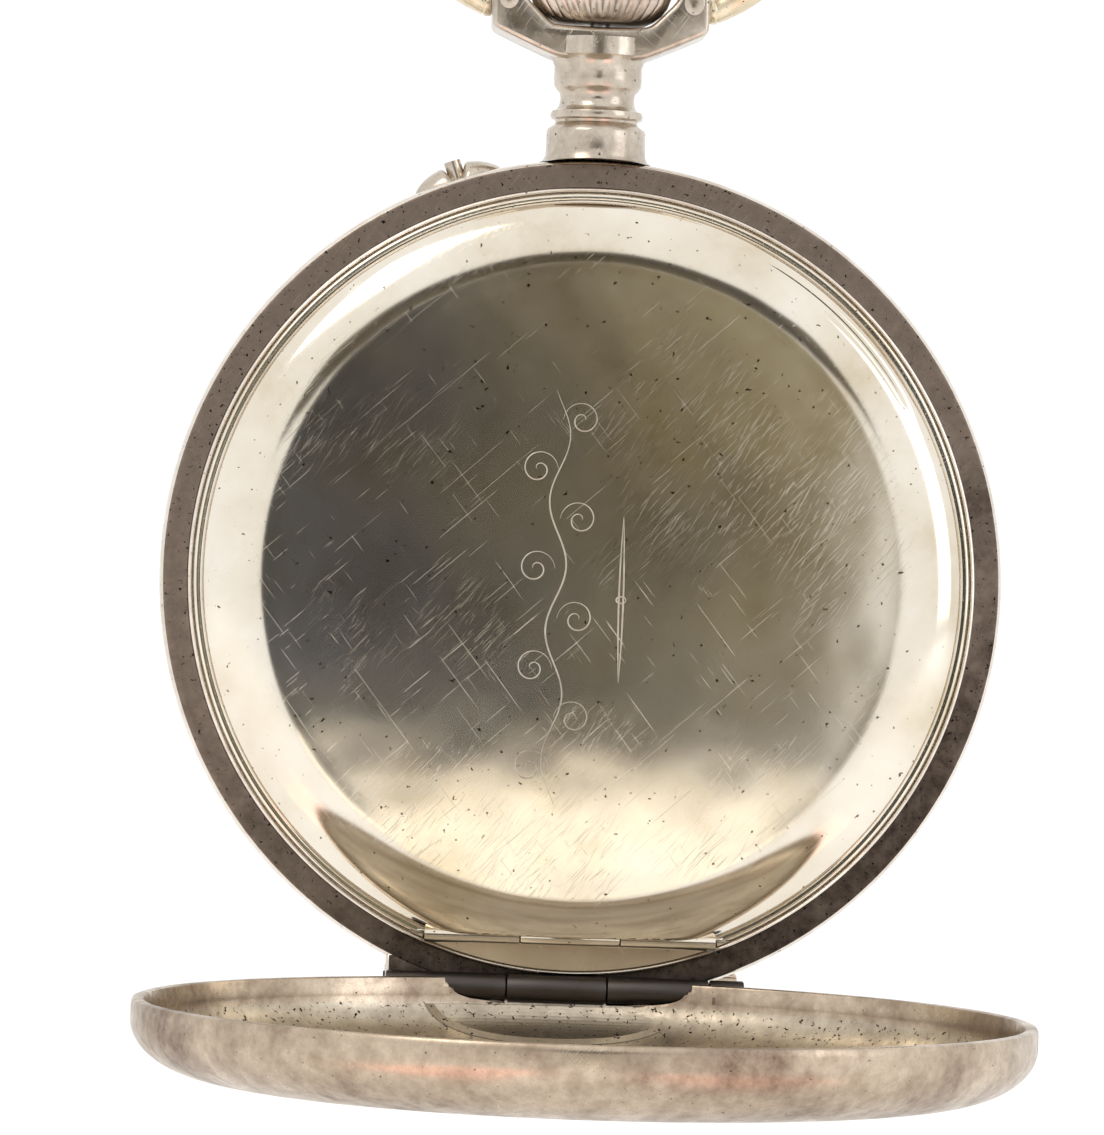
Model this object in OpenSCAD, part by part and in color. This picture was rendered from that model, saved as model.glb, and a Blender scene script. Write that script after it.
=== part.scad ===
// Crown-wound pocket watch with a hinged back cover, an inner dust cover and a full movement.
// +Z points up to the crown, -Y points out of the case back, and the origin is the centre of
// the crystal's front face. Round pieces are drawn in (x, up, depth), where depth counts from
// the crystal towards the back, and laid() turns them into the watch's frame.

/* [Case] */
// Outer radius of the case
case_r = 25; // [24.9:0.05:25.1]
// Depth at which the band starts, behind the bezel
band_front = 3.6; // [3.5:0.05:3.7]
// Depth of the band's rear rebate floor
band_back = 9; // [8.95:0.05:9.05]
// Radius of the room for the movement
bore_r = 21.6; // [21.5:0.05:21.7]
// Radius of the rim that the dust cover snaps into
rim_r = 23.3; // [23.25:0.05:23.35]
// Wall thickness of the covers
cover_wall = 0.5; // [0.45:0.05:0.6]
// Depth of the closed back cover's crown
cover_depth = 14; // [13.8:0.1:14.4]
// Angle at which the back cover stands open
cover_open = 90; // [0:5:90]

/* [Hinges] */
// Height of the two outer hinge axes, below the centre
hinge_up = -24.1; // [-24.2:0.05:-24]
// Depth of the back cover's hinge axis
hinge_depth = 9.6; // [9.55:0.05:9.65]
// Outer radius of the hinge knuckles
knuckle_r = 0.8; // [0.75:0.05:0.85]
// Radius of the hinge pins
pin_r = 0.3; // [0.25:0.01:0.35]
// Radial clearance round a turning pin or shaft
running = 0.03; // [0.02:0.01:0.05]
// Height of the dust cover's hinge axis
cuvette_hinge_up = -21.1; // [-21.2:0.05:-21]
// Depth of the dust cover's hinge axis
cuvette_hinge_depth = 9.95; // [9.9:0.05:10]

/* [Pendant, crown and bow] */
// Depth of the winding stem's axis
stem_depth = 6.9; // [6.85:0.05:6.95]
// Radius of the winding stem
stem_r = 0.6; // [0.55:0.05:0.65]
// Height of the bow's pivots
bow_up = 34.2; // [34.1:0.1:34.4]
// Radius of the bow's arc along its wire
bow_arc_r = 11.2; // [11:0.1:11.4]
// Height of the bow's wire at the top
bow_top_up = 52.4; // [52:0.1:52.8]
// Radius of the bow's wire
bow_wire_r = 1.2; // [1.1:0.05:1.25]
// Largest radius of the crown
crown_r = 4.3; // [4.2:0.05:4.35]
// Height of the crown's lower edge
crown_up = 33.1; // [33:0.1:33.3]
// Height of the crown from edge to top
crown_h = 7.2; // [7:0.1:7.4]
// Number of flutes round the crown
crown_flutes = 30; // [24:2:32]

/* [Push pin for setting the hands] */
// Angle of the push pin from the pendant
push_angle = 19; // [18:0.5:20]
// Radius of the push pin
push_r = 0.5; // [0.4:0.05:0.55]
// How far the push pin travels
push_travel = 0.6; // [0.5:0.05:0.6]

/* [Dial side] */
// Radius of the dial
dial_r = 20.5; // [20.4:0.05:20.6]
// Radius of the crystal
crystal_r = 21.2; // [21.1:0.05:21.3]

/* [Movement] */
// Radius of the mainplate
plate_r = 21.3; // [21.2:0.05:21.4]
// Depth of the mainplate's dial side
plate_front = 3.6; // [3.55:0.05:3.65]
// Depth of the mainplate's upper side
plate_back = 5.2; // [5.15:0.05:5.25]
// Depth of the underside of the bridges
bridge_front = 7.7; // [7.65:0.05:7.75]
// Depth of the upper side of the bridges
bridge_back = 8.7; // [8.65:0.05:8.75]

/* [Hidden] */
$fn = 96;
silver = "#cdc5ba";
dark_silver = "#8b7f74";
steel = "#b9bcc0";
blued = "#2b3a66";
gilt = "#c9a44c";
ruby = "#b3123a";
skin = 0.05;  // gap between fixed faces that only face each other
far = 60;     // longer than any cut needs to be

// Lays a piece drawn in (x, up, depth) into the watch's frame
module laid() {
    rotate([90, 0, 0])
        children();
}

// A round disc or drum between two depths
module drum(r, front, back) {
    translate([0, 0, front])
        cylinder(r=r, h=back - front);
}

// A ring between two depths
module ring(outer, inner, front, back) {
    difference() {
        drum(outer, front, back);
        drum(inner, front - 1, back + 1);
    }
}

// A bar along x, from one x to another, centred on an axis at a height and a depth
module cross_bar(r, from, to, up, depth) {
    translate([from, up, depth])
        rotate([0, 90, 0])
            cylinder(r=r, h=to - from, $fn=48);
}

// A box between low and high corners in (x, up, depth)
module block(low, high) {
    translate(low)
        cube(high - low);
}

// ---- Hinges ----
bezel_hinge_depth = band_front - (hinge_depth - band_back);
case_knuckles = [[-10.8, -3.7], [2.3, 8.3]];
cover_knuckles = [[-3.65, 2.25], [8.35, 10.4]];
groove_r = knuckle_r + 0.1;
hinge_chord = hinge_up - 0.5;  // the covers are cut straight just below the axis
block_r = case_r + 1.1;        // the hinge blocks stand this far out of the band

// A row of knuckles bored for the hinge pin
module knuckles(spans, r, bore, up, depth) {
    difference() {
        for (span = spans)
            cross_bar(r, span[0], span[1], up, depth);
        cross_bar(bore, -case_r, case_r, up, depth);
    }
}

// Room cut round the knuckles of the other leaf
module knuckle_room(spans, r, up, depth) {
    for (span = spans)
        cross_bar(r, span[0] - skin, span[1] + skin, up, depth);
}

// The short bar of the band under one outer hinge
module hinge_block(front, back) {
    intersection() {
        block([case_knuckles[0][0], hinge_up - 0.75, front], [cover_knuckles[1][1], -22.2, back]);
        drum(block_r, front, back);
    }
}

// The pin runs through every knuckle of a hinge
module hinge_pin(depth) {
    color(steel) laid()
        cross_bar(pin_r, case_knuckles[0][0] - 0.1, cover_knuckles[1][1] + 0.1, hinge_up, depth);
}

// ---- Case ----
module case_middle() {
    color(dark_silver) laid() {
        difference() {
            union() {
                rotate_extrude($fn=180)
                    polygon([
                        [bore_r, band_front], [case_r - 0.5, band_front],
                        [case_r - 0.12, band_front + 0.5], [case_r, band_front + 1],
                        [case_r, band_back - 0.8], [case_r - 0.1, band_back - 0.3],
                        [case_r - 0.25, band_back], [rim_r, band_back],
                        [rim_r, band_back + 0.6], [rim_r - 0.25, band_back + 0.6],
                        [rim_r - 0.25, band_back], [bore_r, band_back]]);
                hinge_block(band_back - 1.6, band_back);
                hinge_block(band_front, band_front + 1.6);
            }
            knuckle_room(cover_knuckles, groove_r, hinge_up, hinge_depth);
            knuckle_room(cover_knuckles, groove_r, hinge_up, bezel_hinge_depth);
            drum(bore_r, band_front - 1, band_back + 1);
            // the stem's hole, up through the band
            translate([0, bore_r - 2, stem_depth])
                rotate([-90, 0, 0])
                    cylinder(r=stem_r + 0.35, h=far);
            // the push pin's hole
            rotate(push_angle)
                translate([0, bore_r - 2, stem_depth])
                    rotate([-90, 0, 0])
                        cylinder(r=push_r + running, h=far);
        }
        knuckles(case_knuckles, knuckle_r, pin_r, hinge_up, hinge_depth);
        knuckles(case_knuckles, knuckle_r, pin_r, hinge_up, bezel_hinge_depth);
    }
}

// ---- Inner dust cover ----
cuvette_r = rim_r - 0.3;
cuvette_flat_r = 18.6;
cuvette_rise = 1.75;
cuvette_foot = band_back + skin;
cuvette_knuckle_r = 0.45;
cuvette_pin_r = 0.2;
sill_knuckles = [[-8.6, -3], [3, 8.6]];
cuvette_knuckles = [[-2.95, 2.95]];

// The dust cover's dome as a filled profile: a bead, a round shoulder and a shallow crown
function dust_profile(flat_r, shoulder, foot, rise, crown) = concat(
    [[0, foot]],
    [[flat_r + shoulder, foot]],
    [for (t = [90:-6:0]) [flat_r + shoulder * sin(t), foot + rise * cos(t)]],
    [for (k = [5:-1:0]) [flat_r * k / 6, foot + rise + crown * (1 - pow(k / 6, 2))]]);

module dust_dome() {
    difference() {
        union() {
            rotate_extrude($fn=180)
                polygon(dust_profile(cuvette_flat_r, 3.9, cuvette_foot + 0.5, cuvette_rise, 0.2));
            drum(cuvette_r, cuvette_foot, cuvette_foot + 0.52);
        }
        rotate_extrude($fn=180)
            polygon(dust_profile(cuvette_flat_r, 3.45, cuvette_foot - 0.02, 1.87, 0.2));
    }
}

module cuvette() {
    edge = cuvette_hinge_up + 0.15;
    color(silver) laid() {
        difference() {
            union() {
                intersection() {
                    dust_dome();
                    block([-far, edge, 0], [far, far, far]);
                }
                // the straight wall that carries the knuckle
                intersection() {
                    union() {
                        rotate_extrude($fn=180)
                            polygon(dust_profile(cuvette_flat_r, 3.9, cuvette_foot + 0.5,
                                                 cuvette_rise, 0.2));
                        drum(cuvette_r, cuvette_foot, cuvette_foot + 0.52);
                    }
                    block([-far, edge, 0], [far, edge + 0.4, far]);
                }
            }
            knuckle_room(sill_knuckles, cuvette_knuckle_r + 0.05, cuvette_hinge_up,
                         cuvette_hinge_depth);
            cross_bar(cuvette_pin_r + running, -2.9, 2.9, cuvette_hinge_up, cuvette_hinge_depth);
        }
        knuckles(cuvette_knuckles, cuvette_knuckle_r, cuvette_pin_r + running, cuvette_hinge_up,
                 cuvette_hinge_depth);
    }
}

// The fixed facet below the dust cover's hinge
module cuvette_sill() {
    color(silver) laid() {
        difference() {
            intersection() {
                drum(cuvette_r, band_back, band_back + 0.6);
                block([-far, -far, 0], [far, cuvette_hinge_up, far]);
            }
            knuckle_room(cuvette_knuckles, cuvette_knuckle_r + 0.05, cuvette_hinge_up,
                         cuvette_hinge_depth);
        }
        knuckles(sill_knuckles, cuvette_knuckle_r, cuvette_pin_r, cuvette_hinge_up,
                 cuvette_hinge_depth);
    }
}

module cuvette_hinge_pin() {
    color(steel) laid()
        cross_bar(cuvette_pin_r, -8.7, 8.7, cuvette_hinge_up, cuvette_hinge_depth);
}

// ---- Back cover ----
rim_wall = 0.8;
cover_flat_r = 20;
cover_foot = band_back + skin;

// The back cover's dome as a filled profile: a straight rim, a round shoulder, a shallow crown
function cover_profile(r, flat_r, foot, turn, flat_depth, top) = concat(
    [[0, foot], [r, foot]],
    [for (t = [90:-5:0]) [flat_r + (r - flat_r) * sin(t), turn + (flat_depth - turn) * cos(t)]],
    [for (k = [7:-1:0]) [flat_r * k / 8, flat_depth + (top - flat_depth) * (1 - pow(k / 8, 2))]]);

module cover_solid(inset) {
    rotate_extrude($fn=180)
        polygon(cover_profile(
            case_r - (inset > 0 ? rim_wall : 0) - max(inset - cover_wall, 0), cover_flat_r,
            inset > 0 ? cover_foot - 1 : cover_foot, cover_foot + 1.15 - inset * 0.4,
            cover_depth - 0.7 - inset, cover_depth - inset));
}

// Turns the closed back cover about its hinge to where it stands open
module opened() {
    translate([0, -hinge_depth, hinge_up])
        rotate([cover_open, 0, 0])
            translate([0, hinge_depth, -hinge_up])
                laid() children();
}

module back_cover() {
    color(silver) opened() {
        difference() {
            union() {
                difference() {
                    cover_solid(0);
                    cover_solid(cover_wall);
                    block([-far, -far, 0], [far, hinge_chord, far]);
                }
                // the web of the end knuckle
                intersection() {
                    block([cover_knuckles[1][0], hinge_chord, hinge_depth],
                          [cover_knuckles[1][1], -22.4, hinge_depth + 0.6]);
                    drum(block_r, 0, far);
                }
            }
            knuckle_room(case_knuckles, groove_r, hinge_up, hinge_depth);
            cross_bar(pin_r + running, -case_r, case_r, hinge_up, hinge_depth);
        }
        knuckles(cover_knuckles, knuckle_r, pin_r + running, hinge_up, hinge_depth);
    }
}

// The leaf-shaped plate that strengthens the cover inside the hinge
module cover_lug_plate() {
    leaf_x = -1.5;
    leaf_up = -22.6;
    leaf_half = 7.1;
    leaf_r = 18;
    leaf_rise = sqrt(leaf_r * leaf_r - leaf_half * leaf_half);
    color(dark_silver) opened() {
        difference() {
            intersection() {
                cover_solid(cover_wall + 0.02);
                translate([leaf_x, leaf_up - leaf_rise, 0])
                    drum(leaf_r, hinge_depth + 1, far);
                translate([leaf_x, leaf_up + leaf_rise, 0])
                    drum(leaf_r, hinge_depth + 1, far);
            }
            cover_solid(cover_wall + 0.35);
            knuckle_room([[-far, far]], groove_r + 0.1, hinge_up, hinge_depth);
        }
    }
}

module back_hinge_pin() {
    hinge_pin(hinge_depth);
}

// ---- Bezel and crystal ----
module front_bezel() {
    color(silver) laid() {
        difference() {
            union() {
                difference() {
                    rotate_extrude($fn=180)
                        polygon([
                            [crystal_r - 0.9, 1], [crystal_r, 1], [crystal_r, 0.45],
                            [21.9, 0.45], [23.2, 0.75], [24.2, 1.5], [24.8, 2.4],
                            [case_r, band_front - skin], [21.9, band_front - skin],
                            [21.9, 1.5], [crystal_r - 0.9, 1.5]]);
                    block([-far, -far, 0], [far, hinge_chord, far]);
                }
                intersection() {
                    block([cover_knuckles[1][0] + 0.1, hinge_chord + 0.1, bezel_hinge_depth - 0.6],
                          [cover_knuckles[1][1] - 0.1, -22.4, bezel_hinge_depth + 0.1]);
                    drum(block_r, 0, far);
                }
            }
            knuckle_room(case_knuckles, groove_r, hinge_up, bezel_hinge_depth);
            cross_bar(pin_r + running, -case_r, case_r, hinge_up, bezel_hinge_depth);
        }
        knuckles(cover_knuckles, knuckle_r, pin_r + running, hinge_up, bezel_hinge_depth);
    }
}

module bezel_hinge_pin() {
    hinge_pin(bezel_hinge_depth);
}

module crystal() {
    color("#dfe8ee", 0.4) laid()
        rotate_extrude($fn=180)
            polygon([[0, 0], [crystal_r - 1.2, 0], [crystal_r - 0.4, 0.3], [crystal_r, 0.6],
                     [crystal_r, 1.0], [0, 1.0]]);
}

// ---- Pendant, bow and crown ----
arm_in = crown_r + 0.3;
arm_out = 6.4;
arm_top_r = 2;
eye_w = 2;
eye_gap = 0.1;
eye_x = arm_out + eye_gap;
screw_r = 0.6;

// Everything here is round about the stem's axis
module on_stem() {
    translate([0, -stem_depth, 0])
        children();
}

// A bar along x through the bow's pivots
module pivot_bar(r, from, to) {
    translate([from, -stem_depth, bow_up])
        rotate([0, 90, 0])
            cylinder(r=r, h=to - from, $fn=48);
}

module pendant() {
    color(silver) difference() {
        union() {
            on_stem()
                rotate_extrude()
                    polygon([
                        [0, 24], [3.35, 24], [3.35, 24.9], [3.05, 25.15], [2.95, 25.6],
                        [2.95, 26.85], [2.75, 27.05], [2.45, 27.2], [2.45, 27.4], [2.72, 27.55],
                        [2.76, 27.75], [2.68, 27.95], [2.3, 28.15], [2.2, 28.6], [2.22, 29.05],
                        [2.45, 29.3], [2.6, 29.6], [2.6, 30.7], [2.75, 31.1], [0, 31.1]]);
            // the yoke, a fork seen from the back and a round-topped arm seen from the side
            intersection() {
                translate([0, -stem_depth + arm_top_r + 0.4, 0])
                    rotate([90, 0, 0])
                        linear_extrude(2 * arm_top_r + 0.8)
                            polygon([
                                [-2.3, 30.9], [2.3, 30.9], [3.1, 31.15], [5.2, 31.9],
                                [arm_out, 32.7], [arm_out, 36.4], [-arm_out, 36.4],
                                [-arm_out, 32.7], [-5.2, 31.9], [-3.1, 31.15]]);
                union() {
                    pivot_bar(arm_top_r, -arm_out, arm_out);
                    translate([-arm_out, -stem_depth - arm_top_r, 30])
                        cube([2 * arm_out, 2 * arm_top_r, bow_up - 30]);
                    on_stem()
                        translate([0, 0, 30.5])
                            cylinder(r=3.4, h=2.4);
                }
            }
        }
        // the hollow that the crown turns in
        on_stem() {
            translate([0, 0, crown_up - 0.2])
                cylinder(r1=2.9, r2=arm_in, h=1.4);
            translate([0, 0, crown_up + 1.2])
                cylinder(r=arm_in, h=far);
            cylinder(r=stem_r + 0.35, h=far);
        }
        laid()
            drum(case_r, band_front, band_back);
        laid()
            drum(case_r + 0.15, band_back, far);
        laid()
            drum(case_r + 0.15, -far, band_front);
        pivot_bar(screw_r, -far, far);
    }
}

bow_head_room = 1.25;  // half the width of the sinks for the screws' heads

// The wire is a round arc from eye to eye
bow_arc_up = bow_top_up - bow_arc_r;
bow_end_turn = asin((bow_arc_up - bow_up) / bow_arc_r);

module bow() {
    color(silver) difference() {
        union() {
            laid()
                translate([0, bow_arc_up, stem_depth])
                    rotate(-bow_end_turn)
                        rotate_extrude(angle=180 + 2 * bow_end_turn, $fn=120)
                            translate([bow_arc_r, 0])
                                circle(r=bow_wire_r, $fn=32);
            pivot_bar(1.6, eye_x, eye_x + eye_w);
            pivot_bar(1.6, -eye_x - eye_w, -eye_x);
        }
        pivot_bar(screw_r + running, -far, far);
        // room for the domed heads
        pivot_bar(bow_head_room, eye_x + eye_w, far);
        pivot_bar(bow_head_room, -far, -eye_x - eye_w);
    }
}

// The two screws that the bow swings on, with their domed heads
module bow_screws() {
    color(silver)
        for (side = [-1, 1])
            translate([0, -stem_depth, bow_up])
                rotate([0, 90 * side, 0])
                    rotate_extrude($fn=48)
                        polygon([
                            [0, arm_in + 0.3], [screw_r, arm_in + 0.3],
                            [screw_r, eye_x + eye_w + 0.05], [1.15, eye_x + eye_w + 0.05],
                            [1.05, eye_x + eye_w + 0.35], [0.6, eye_x + eye_w + 0.6],
                            [0, eye_x + eye_w + 0.65]]);
}

module crown() {
    flute_r = 0.28;
    color(silver) on_stem() translate([0, 0, crown_up]) difference() {
        rotate_extrude()
            polygon([
                [stem_r, 0], [2.5, 0], [3.2, 0.35], [4, 1], [crown_r, 2.2],
                [crown_r - 0.05, 3.6], [crown_r - 0.4, 4.9], [3.1, 6], [1.9, 6.8],
                [0, crown_h], [0, 5], [stem_r, 5]]);
        for (i = [0:crown_flutes - 1])
            rotate(i * 360 / crown_flutes)
                translate([crown_r + 0.08, 0, 0.2])
                    cylinder(r=flute_r, h=5.4, $fn=16);
    }
}

// ---- Push pin and its guard ----
// A place on the band's outside, turned to the push pin's angle: z points out of the band
module at_push() {
    laid()
        rotate(push_angle)
            translate([0, case_r, stem_depth])
                rotate([-90, 0, 0])
                    children();
}

module push_guard() {
    color(silver) difference() {
        at_push()
            difference() {
                intersection() {
                    translate([0, 0, -3.2])
                        rotate([90, 0, 0])
                            translate([0, 0, -1.6])
                                cylinder(r=4.9, h=3.2);
                    translate([0, 0, -3.2])
                        sphere(r=4.9);
                    translate([-far / 2, -1.5, -2])
                        cube([far, 3, 4]);
                }
                // the notch that the pin stands in
                translate([-0.75, -2, 0.35])
                    cube([1.5, 4, 3]);
                translate([0, 0, -3])
                    cylinder(r=push_r + running, h=6);
            }
        laid()
            drum(case_r, 0, far);
    }
}

module push_pin() {
    color(dark_silver) at_push()
        translate([0, 0, -5])
            cylinder(r=push_r, h=5 + 1.15);
}

// ---- Toothed wheels ----
// The outline of a ring of teeth; the shares are the tooth's width at its root and its tip as
// parts of the pitch, and one tooth is centred on the angle given as phase
function teeth_outline(teeth, root_r, tip_r, root_share, tip_share, phase) =
    [for (i = [0:teeth - 1]) each
        [for (corner = [[root_r, -root_share], [tip_r, -tip_share],
                        [tip_r, tip_share], [root_r, root_share]])
            let (a = phase + (i + corner[1] / 2) * 360 / teeth)
                [corner[0] * cos(a), corner[0] * sin(a)]]];

// The phase that puts gear b in mesh with gear a, whose phase is known, along a direction
function meshed(teeth_a, phase_a, direction, teeth_b) =
    direction + 180 - (0.5 - (direction - phase_a) * teeth_a / 360) * 360 / teeth_b;

function direction_of(a, b) = atan2(b[1] - a[1], b[0] - a[0]);

// A wheel's toothed disc
module toothed(teeth, size, phase, front, back) {
    translate([0, 0, front])
        linear_extrude(back - front)
            polygon(teeth_outline(teeth, size * (teeth / 2 - 1.25), size * (teeth / 2 + 0.9),
                                  0.44, 0.18, phase));
}

// A pinion's leaves, thinner than a wheel's teeth so that the pair runs with backlash
module leaves(teeth, size, phase, front, back) {
    translate([0, 0, front])
        linear_extrude(back - front)
            polygon(teeth_outline(teeth, size * (teeth / 2 - 1.3), size * (teeth / 2 + 0.65),
                                  0.34, 0.18, phase));
}

// A toothed wheel with its rim, hub and crossings
module crossed_wheel(teeth, size, phase, front, back, hub_r, spokes) {
    inner = size * (teeth / 2 - 1.25) - 0.7;
    difference() {
        toothed(teeth, size, phase, front, back);
        difference() {
            ring(inner, hub_r, front - 1, back + 1);
            for (i = [0:spokes - 1])
                rotate(i * 360 / spokes)
                    translate([0, -0.25, front - 2])
                        cube([inner + 1, 0.5, back - front + 4]);
        }
    }
}

// ---- Places and sizes in the movement, as [x, up] ----
centre_at = [0, 0];
barrel_at = [-7.58, 6.36];
third_at = [3.95, -5.58];
fourth_at = [0, -9.8];
escape_at = [-5.18, -12.22];
pallet_at = [-7.8, -10.55];
balance_at = [-11, -8.5];
crown_wheel_at = [0, 13.84];
minute_wheel_at = [3.12, 1.8];
click_at = [-15.25, 7.03];
yoke_at = [-12.4, 14.6];
barrel_size = 0.22;
centre_size = 0.19;
third_size = 0.17;
fourth_size = 0.13;
keyless_size = 0.3;
cannon_size = 0.15;
hour_size = 0.144;
barrel_teeth = 80;
centre_leaves = 10;
centre_teeth = 64;
third_teeth = 60;
fourth_teeth = 80;
small_leaves = 8;
escape_teeth = 15;
ratchet_teeth = 40;
crown_teeth = 31;
winding_teeth = 14;
cannon_leaves = 12;
minute_teeth = 36;
minute_leaves = 10;
hour_teeth = 40;
pivot_r = 0.2;
arbor_r = 0.3;
jewel_r = 0.7;
keyless_front = bridge_back + 0.1;
keyless_back = keyless_front + 0.7;
balance_r = 5.6;
screw_spots = [[11, 15.5], [17.5, 4.5], [17.2, -6.5], [9, -17.5], [-10.2, -17.2]];
screw_shank_r = 0.5;

module at(place) {
    translate([place[0], place[1], 0])
        children();
}

// ---- Keyless work ----
module winding_stem() {
    color(steel) on_stem()
        translate([0, 0, 12.9])
            cylinder(r=stem_r, h=crown_up + 5 - 12.9);
}

module winding_pinion() {
    color(steel) on_stem()
        difference() {
            union() {
                translate([0, 0, 16.9])
                    cylinder(r=1.5, h=1.3);
                leaves(winding_teeth, keyless_size, -90, 18.2, 18.75);
            }
            cylinder(r=stem_r, h=far);
        }
}

module sliding_pinion() {
    color(steel) on_stem()
        translate([0, 0, 14.2])
            rotate_extrude()
                polygon([
                    [stem_r + running, 0], [1.4, 0], [1.5, 0.1], [1.5, 1], [1, 1],
                    [1, 1.8], [1.5, 1.8], [1.5, 2.5], [1.4, 2.6], [stem_r + running, 2.6]]);
}

module crown_wheel() {
    color(steel) laid() at(crown_wheel_at)
        difference() {
            toothed(crown_teeth, keyless_size, 90 + 180 / crown_teeth, keyless_front,
                    keyless_back);
            drum(1 + running, 0, far);
        }
}

module crown_wheel_screw() {
    color(blued) laid() at(crown_wheel_at)
        difference() {
            union() {
                drum(1, bridge_back, keyless_back + 0.05);
                drum(1.9, keyless_back + 0.05, keyless_back + 0.4);
            }
            block([-2, -0.15, keyless_back + 0.25], [2, 0.15, far]);
        }
}

crown_to_ratchet = direction_of(crown_wheel_at, barrel_at);

module ratchet_wheel() {
    color(steel) laid() at(barrel_at)
        difference() {
            toothed(ratchet_teeth, keyless_size,
                    meshed(crown_teeth, 90 + 180 / crown_teeth, crown_to_ratchet,
                           ratchet_teeth), keyless_front, keyless_back);
            drum(1, 0, far);
        }
}

module ratchet_screw() {
    color(blued) laid() at(barrel_at)
        difference() {
            drum(1.9, keyless_back, keyless_back + 0.4);
            block([-2, -0.15, keyless_back + 0.25], [2, 0.15, far]);
        }
}

module click() {
    color(steel) laid() at(click_at)
        translate([0, 0, keyless_front])
            linear_extrude(0.6) {
                circle(r=0.9);
                rotate(50.3)
                    polygon([[0, -0.6], [3.3, 0], [0, 0.6]]);
            }
}

module click_spring() {
    color(steel) laid() at(click_at)
        translate([0, 0, keyless_front])
            linear_extrude(0.3) {
                rotate(92)
                    translate([1, 0.95])
                        square([2.2, 0.2]);
                rotate(92)
                    translate([3.2, 1.05])
                        circle(r=0.4);
            }
}

// The lever that carries the sliding pinion when the push pin is pressed
module setting_yoke() {
    tip = [12.9, 1];
    tab = [6.15, 4.05];
    color(steel) laid() at(yoke_at) {
        translate([0, 0, plate_back + 0.1])
            linear_extrude(0.55)
                polygon([
                    [0, -0.9], [6, -0.4], [10.8, 0.7], [tip[0], tip[1] - 0.3],
                    [tip[0], tip[1] + 0.3], [10.6, 1.5], [7, 2.6], [tab[0] + 0.6, tab[1]],
                    [tab[0] - 0.9, tab[1] + 0.1], [4.4, 2.2], [0, 1]]);
        drum(1.1, plate_back + 0.1, plate_back + 0.65);
        translate([tab[0] - 0.6, tab[1] - 1.3, plate_back + 0.6])
            cube([1.1, 1.2, 1.6]);
    }
}

module yoke_spring() {
    color(steel) laid() at(yoke_at)
        translate([1.5, -2.2, plate_back + 0.1])
            linear_extrude(0.3) {
                square([6, 0.25]);
                circle(r=0.5);
            }
}

// ---- Barrel ----
module spiral(inner, outer, turns, thick, front, back) {
    steps = round(turns * 30);
    translate([0, 0, front])
        linear_extrude(back - front)
            polygon([for (side = [0, 1]) each [for (k = [0:steps])
                let (i = side == 0 ? k : steps - k, a = 360 * turns * i / steps,
                     r = inner + (outer - inner) * i / steps + side * thick)
                    [r * cos(a), r * sin(a)]]]);
}

module barrel_drum() {
    color(gilt) laid() at(barrel_at)
        difference() {
            union() {
                toothed(barrel_teeth, barrel_size, direction_of(barrel_at, centre_at), 6, 6.4);
                drum(8.3, 6.4, 7.25);
            }
            drum(8, 6.2, far);
            drum(1 + running, 0, far);
        }
}

module barrel_cover() {
    color(gilt) laid() at(barrel_at)
        ring(8.3, 1 + running, 7.25, 7.5);
}

module barrel_arbor() {
    color(steel) laid() at(barrel_at) {
        drum(1, 4.6, keyless_back);
        drum(1.8, 6.25, 7.2);
    }
}

module mainspring() {
    color(steel) laid() at(barrel_at)
        spiral(2.1, 7.6, 9, 0.2, 6.3, 7.1);
}

// ---- Going train ----
centre_to_third = direction_of(centre_at, third_at);
third_to_fourth = direction_of(third_at, fourth_at);
fourth_to_escape = direction_of(fourth_at, escape_at);

module centre_wheel() {
    color(gilt) laid() at(centre_at) {
        crossed_wheel(centre_teeth, centre_size, centre_to_third, 5.45, 5.75, 1.3, 5);
        leaves(centre_leaves, barrel_size,
               direction_of(centre_at, barrel_at) + 180 / centre_leaves, 5.75, 7.4);
        drum(arbor_r, 1.8, 7.5);
        drum(pivot_r, 7.5, 8.5);
    }
}

module third_wheel() {
    color(gilt) laid() at(third_at) {
        crossed_wheel(third_teeth, third_size, third_to_fourth, 6.9, 7.2, 1.1, 5);
        leaves(small_leaves, centre_size, centre_to_third + 180 + 180 / small_leaves, 5.35,
               6.05);
        drum(arbor_r, 5.3, 7.5);
        drum(pivot_r, 4.4, 8.5);
    }
}

module fourth_wheel() {
    color(gilt) laid() at(fourth_at) {
        crossed_wheel(fourth_teeth, fourth_size, fourth_to_escape, 6.2, 6.5, 1, 5);
        leaves(small_leaves, third_size, third_to_fourth + 180 + 180 / small_leaves, 6.75, 7.35);
        drum(arbor_r, 5.3, 7.5);
        drum(pivot_r, 2.65, 8.5);
    }
}

module escape_wheel() {
    color(steel) laid() at(escape_at) {
        difference() {
            translate([0, 0, 5.5])
                linear_extrude(0.25)
                    polygon(teeth_outline(escape_teeth, 1.9, 2.6, 0.5, 0.08, 0));
            ring(1.6, 0.7, 0, 6);
        }
        translate([-1.7, -0.15, 5.5])
            cube([3.4, 0.3, 0.25]);
        translate([-0.15, -1.7, 5.5])
            cube([0.3, 3.4, 0.25]);
        leaves(small_leaves, fourth_size, fourth_to_escape + 180 + 180 / small_leaves, 6.1, 6.6);
        drum(0.25, 5.3, 7.5);
        drum(pivot_r, 4.4, 8.5);
    }
}

// ---- Escapement and balance ----
module at_pallet() {
    laid() at(pallet_at)
        rotate(direction_of(escape_at, balance_at))
            children();
}

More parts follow.
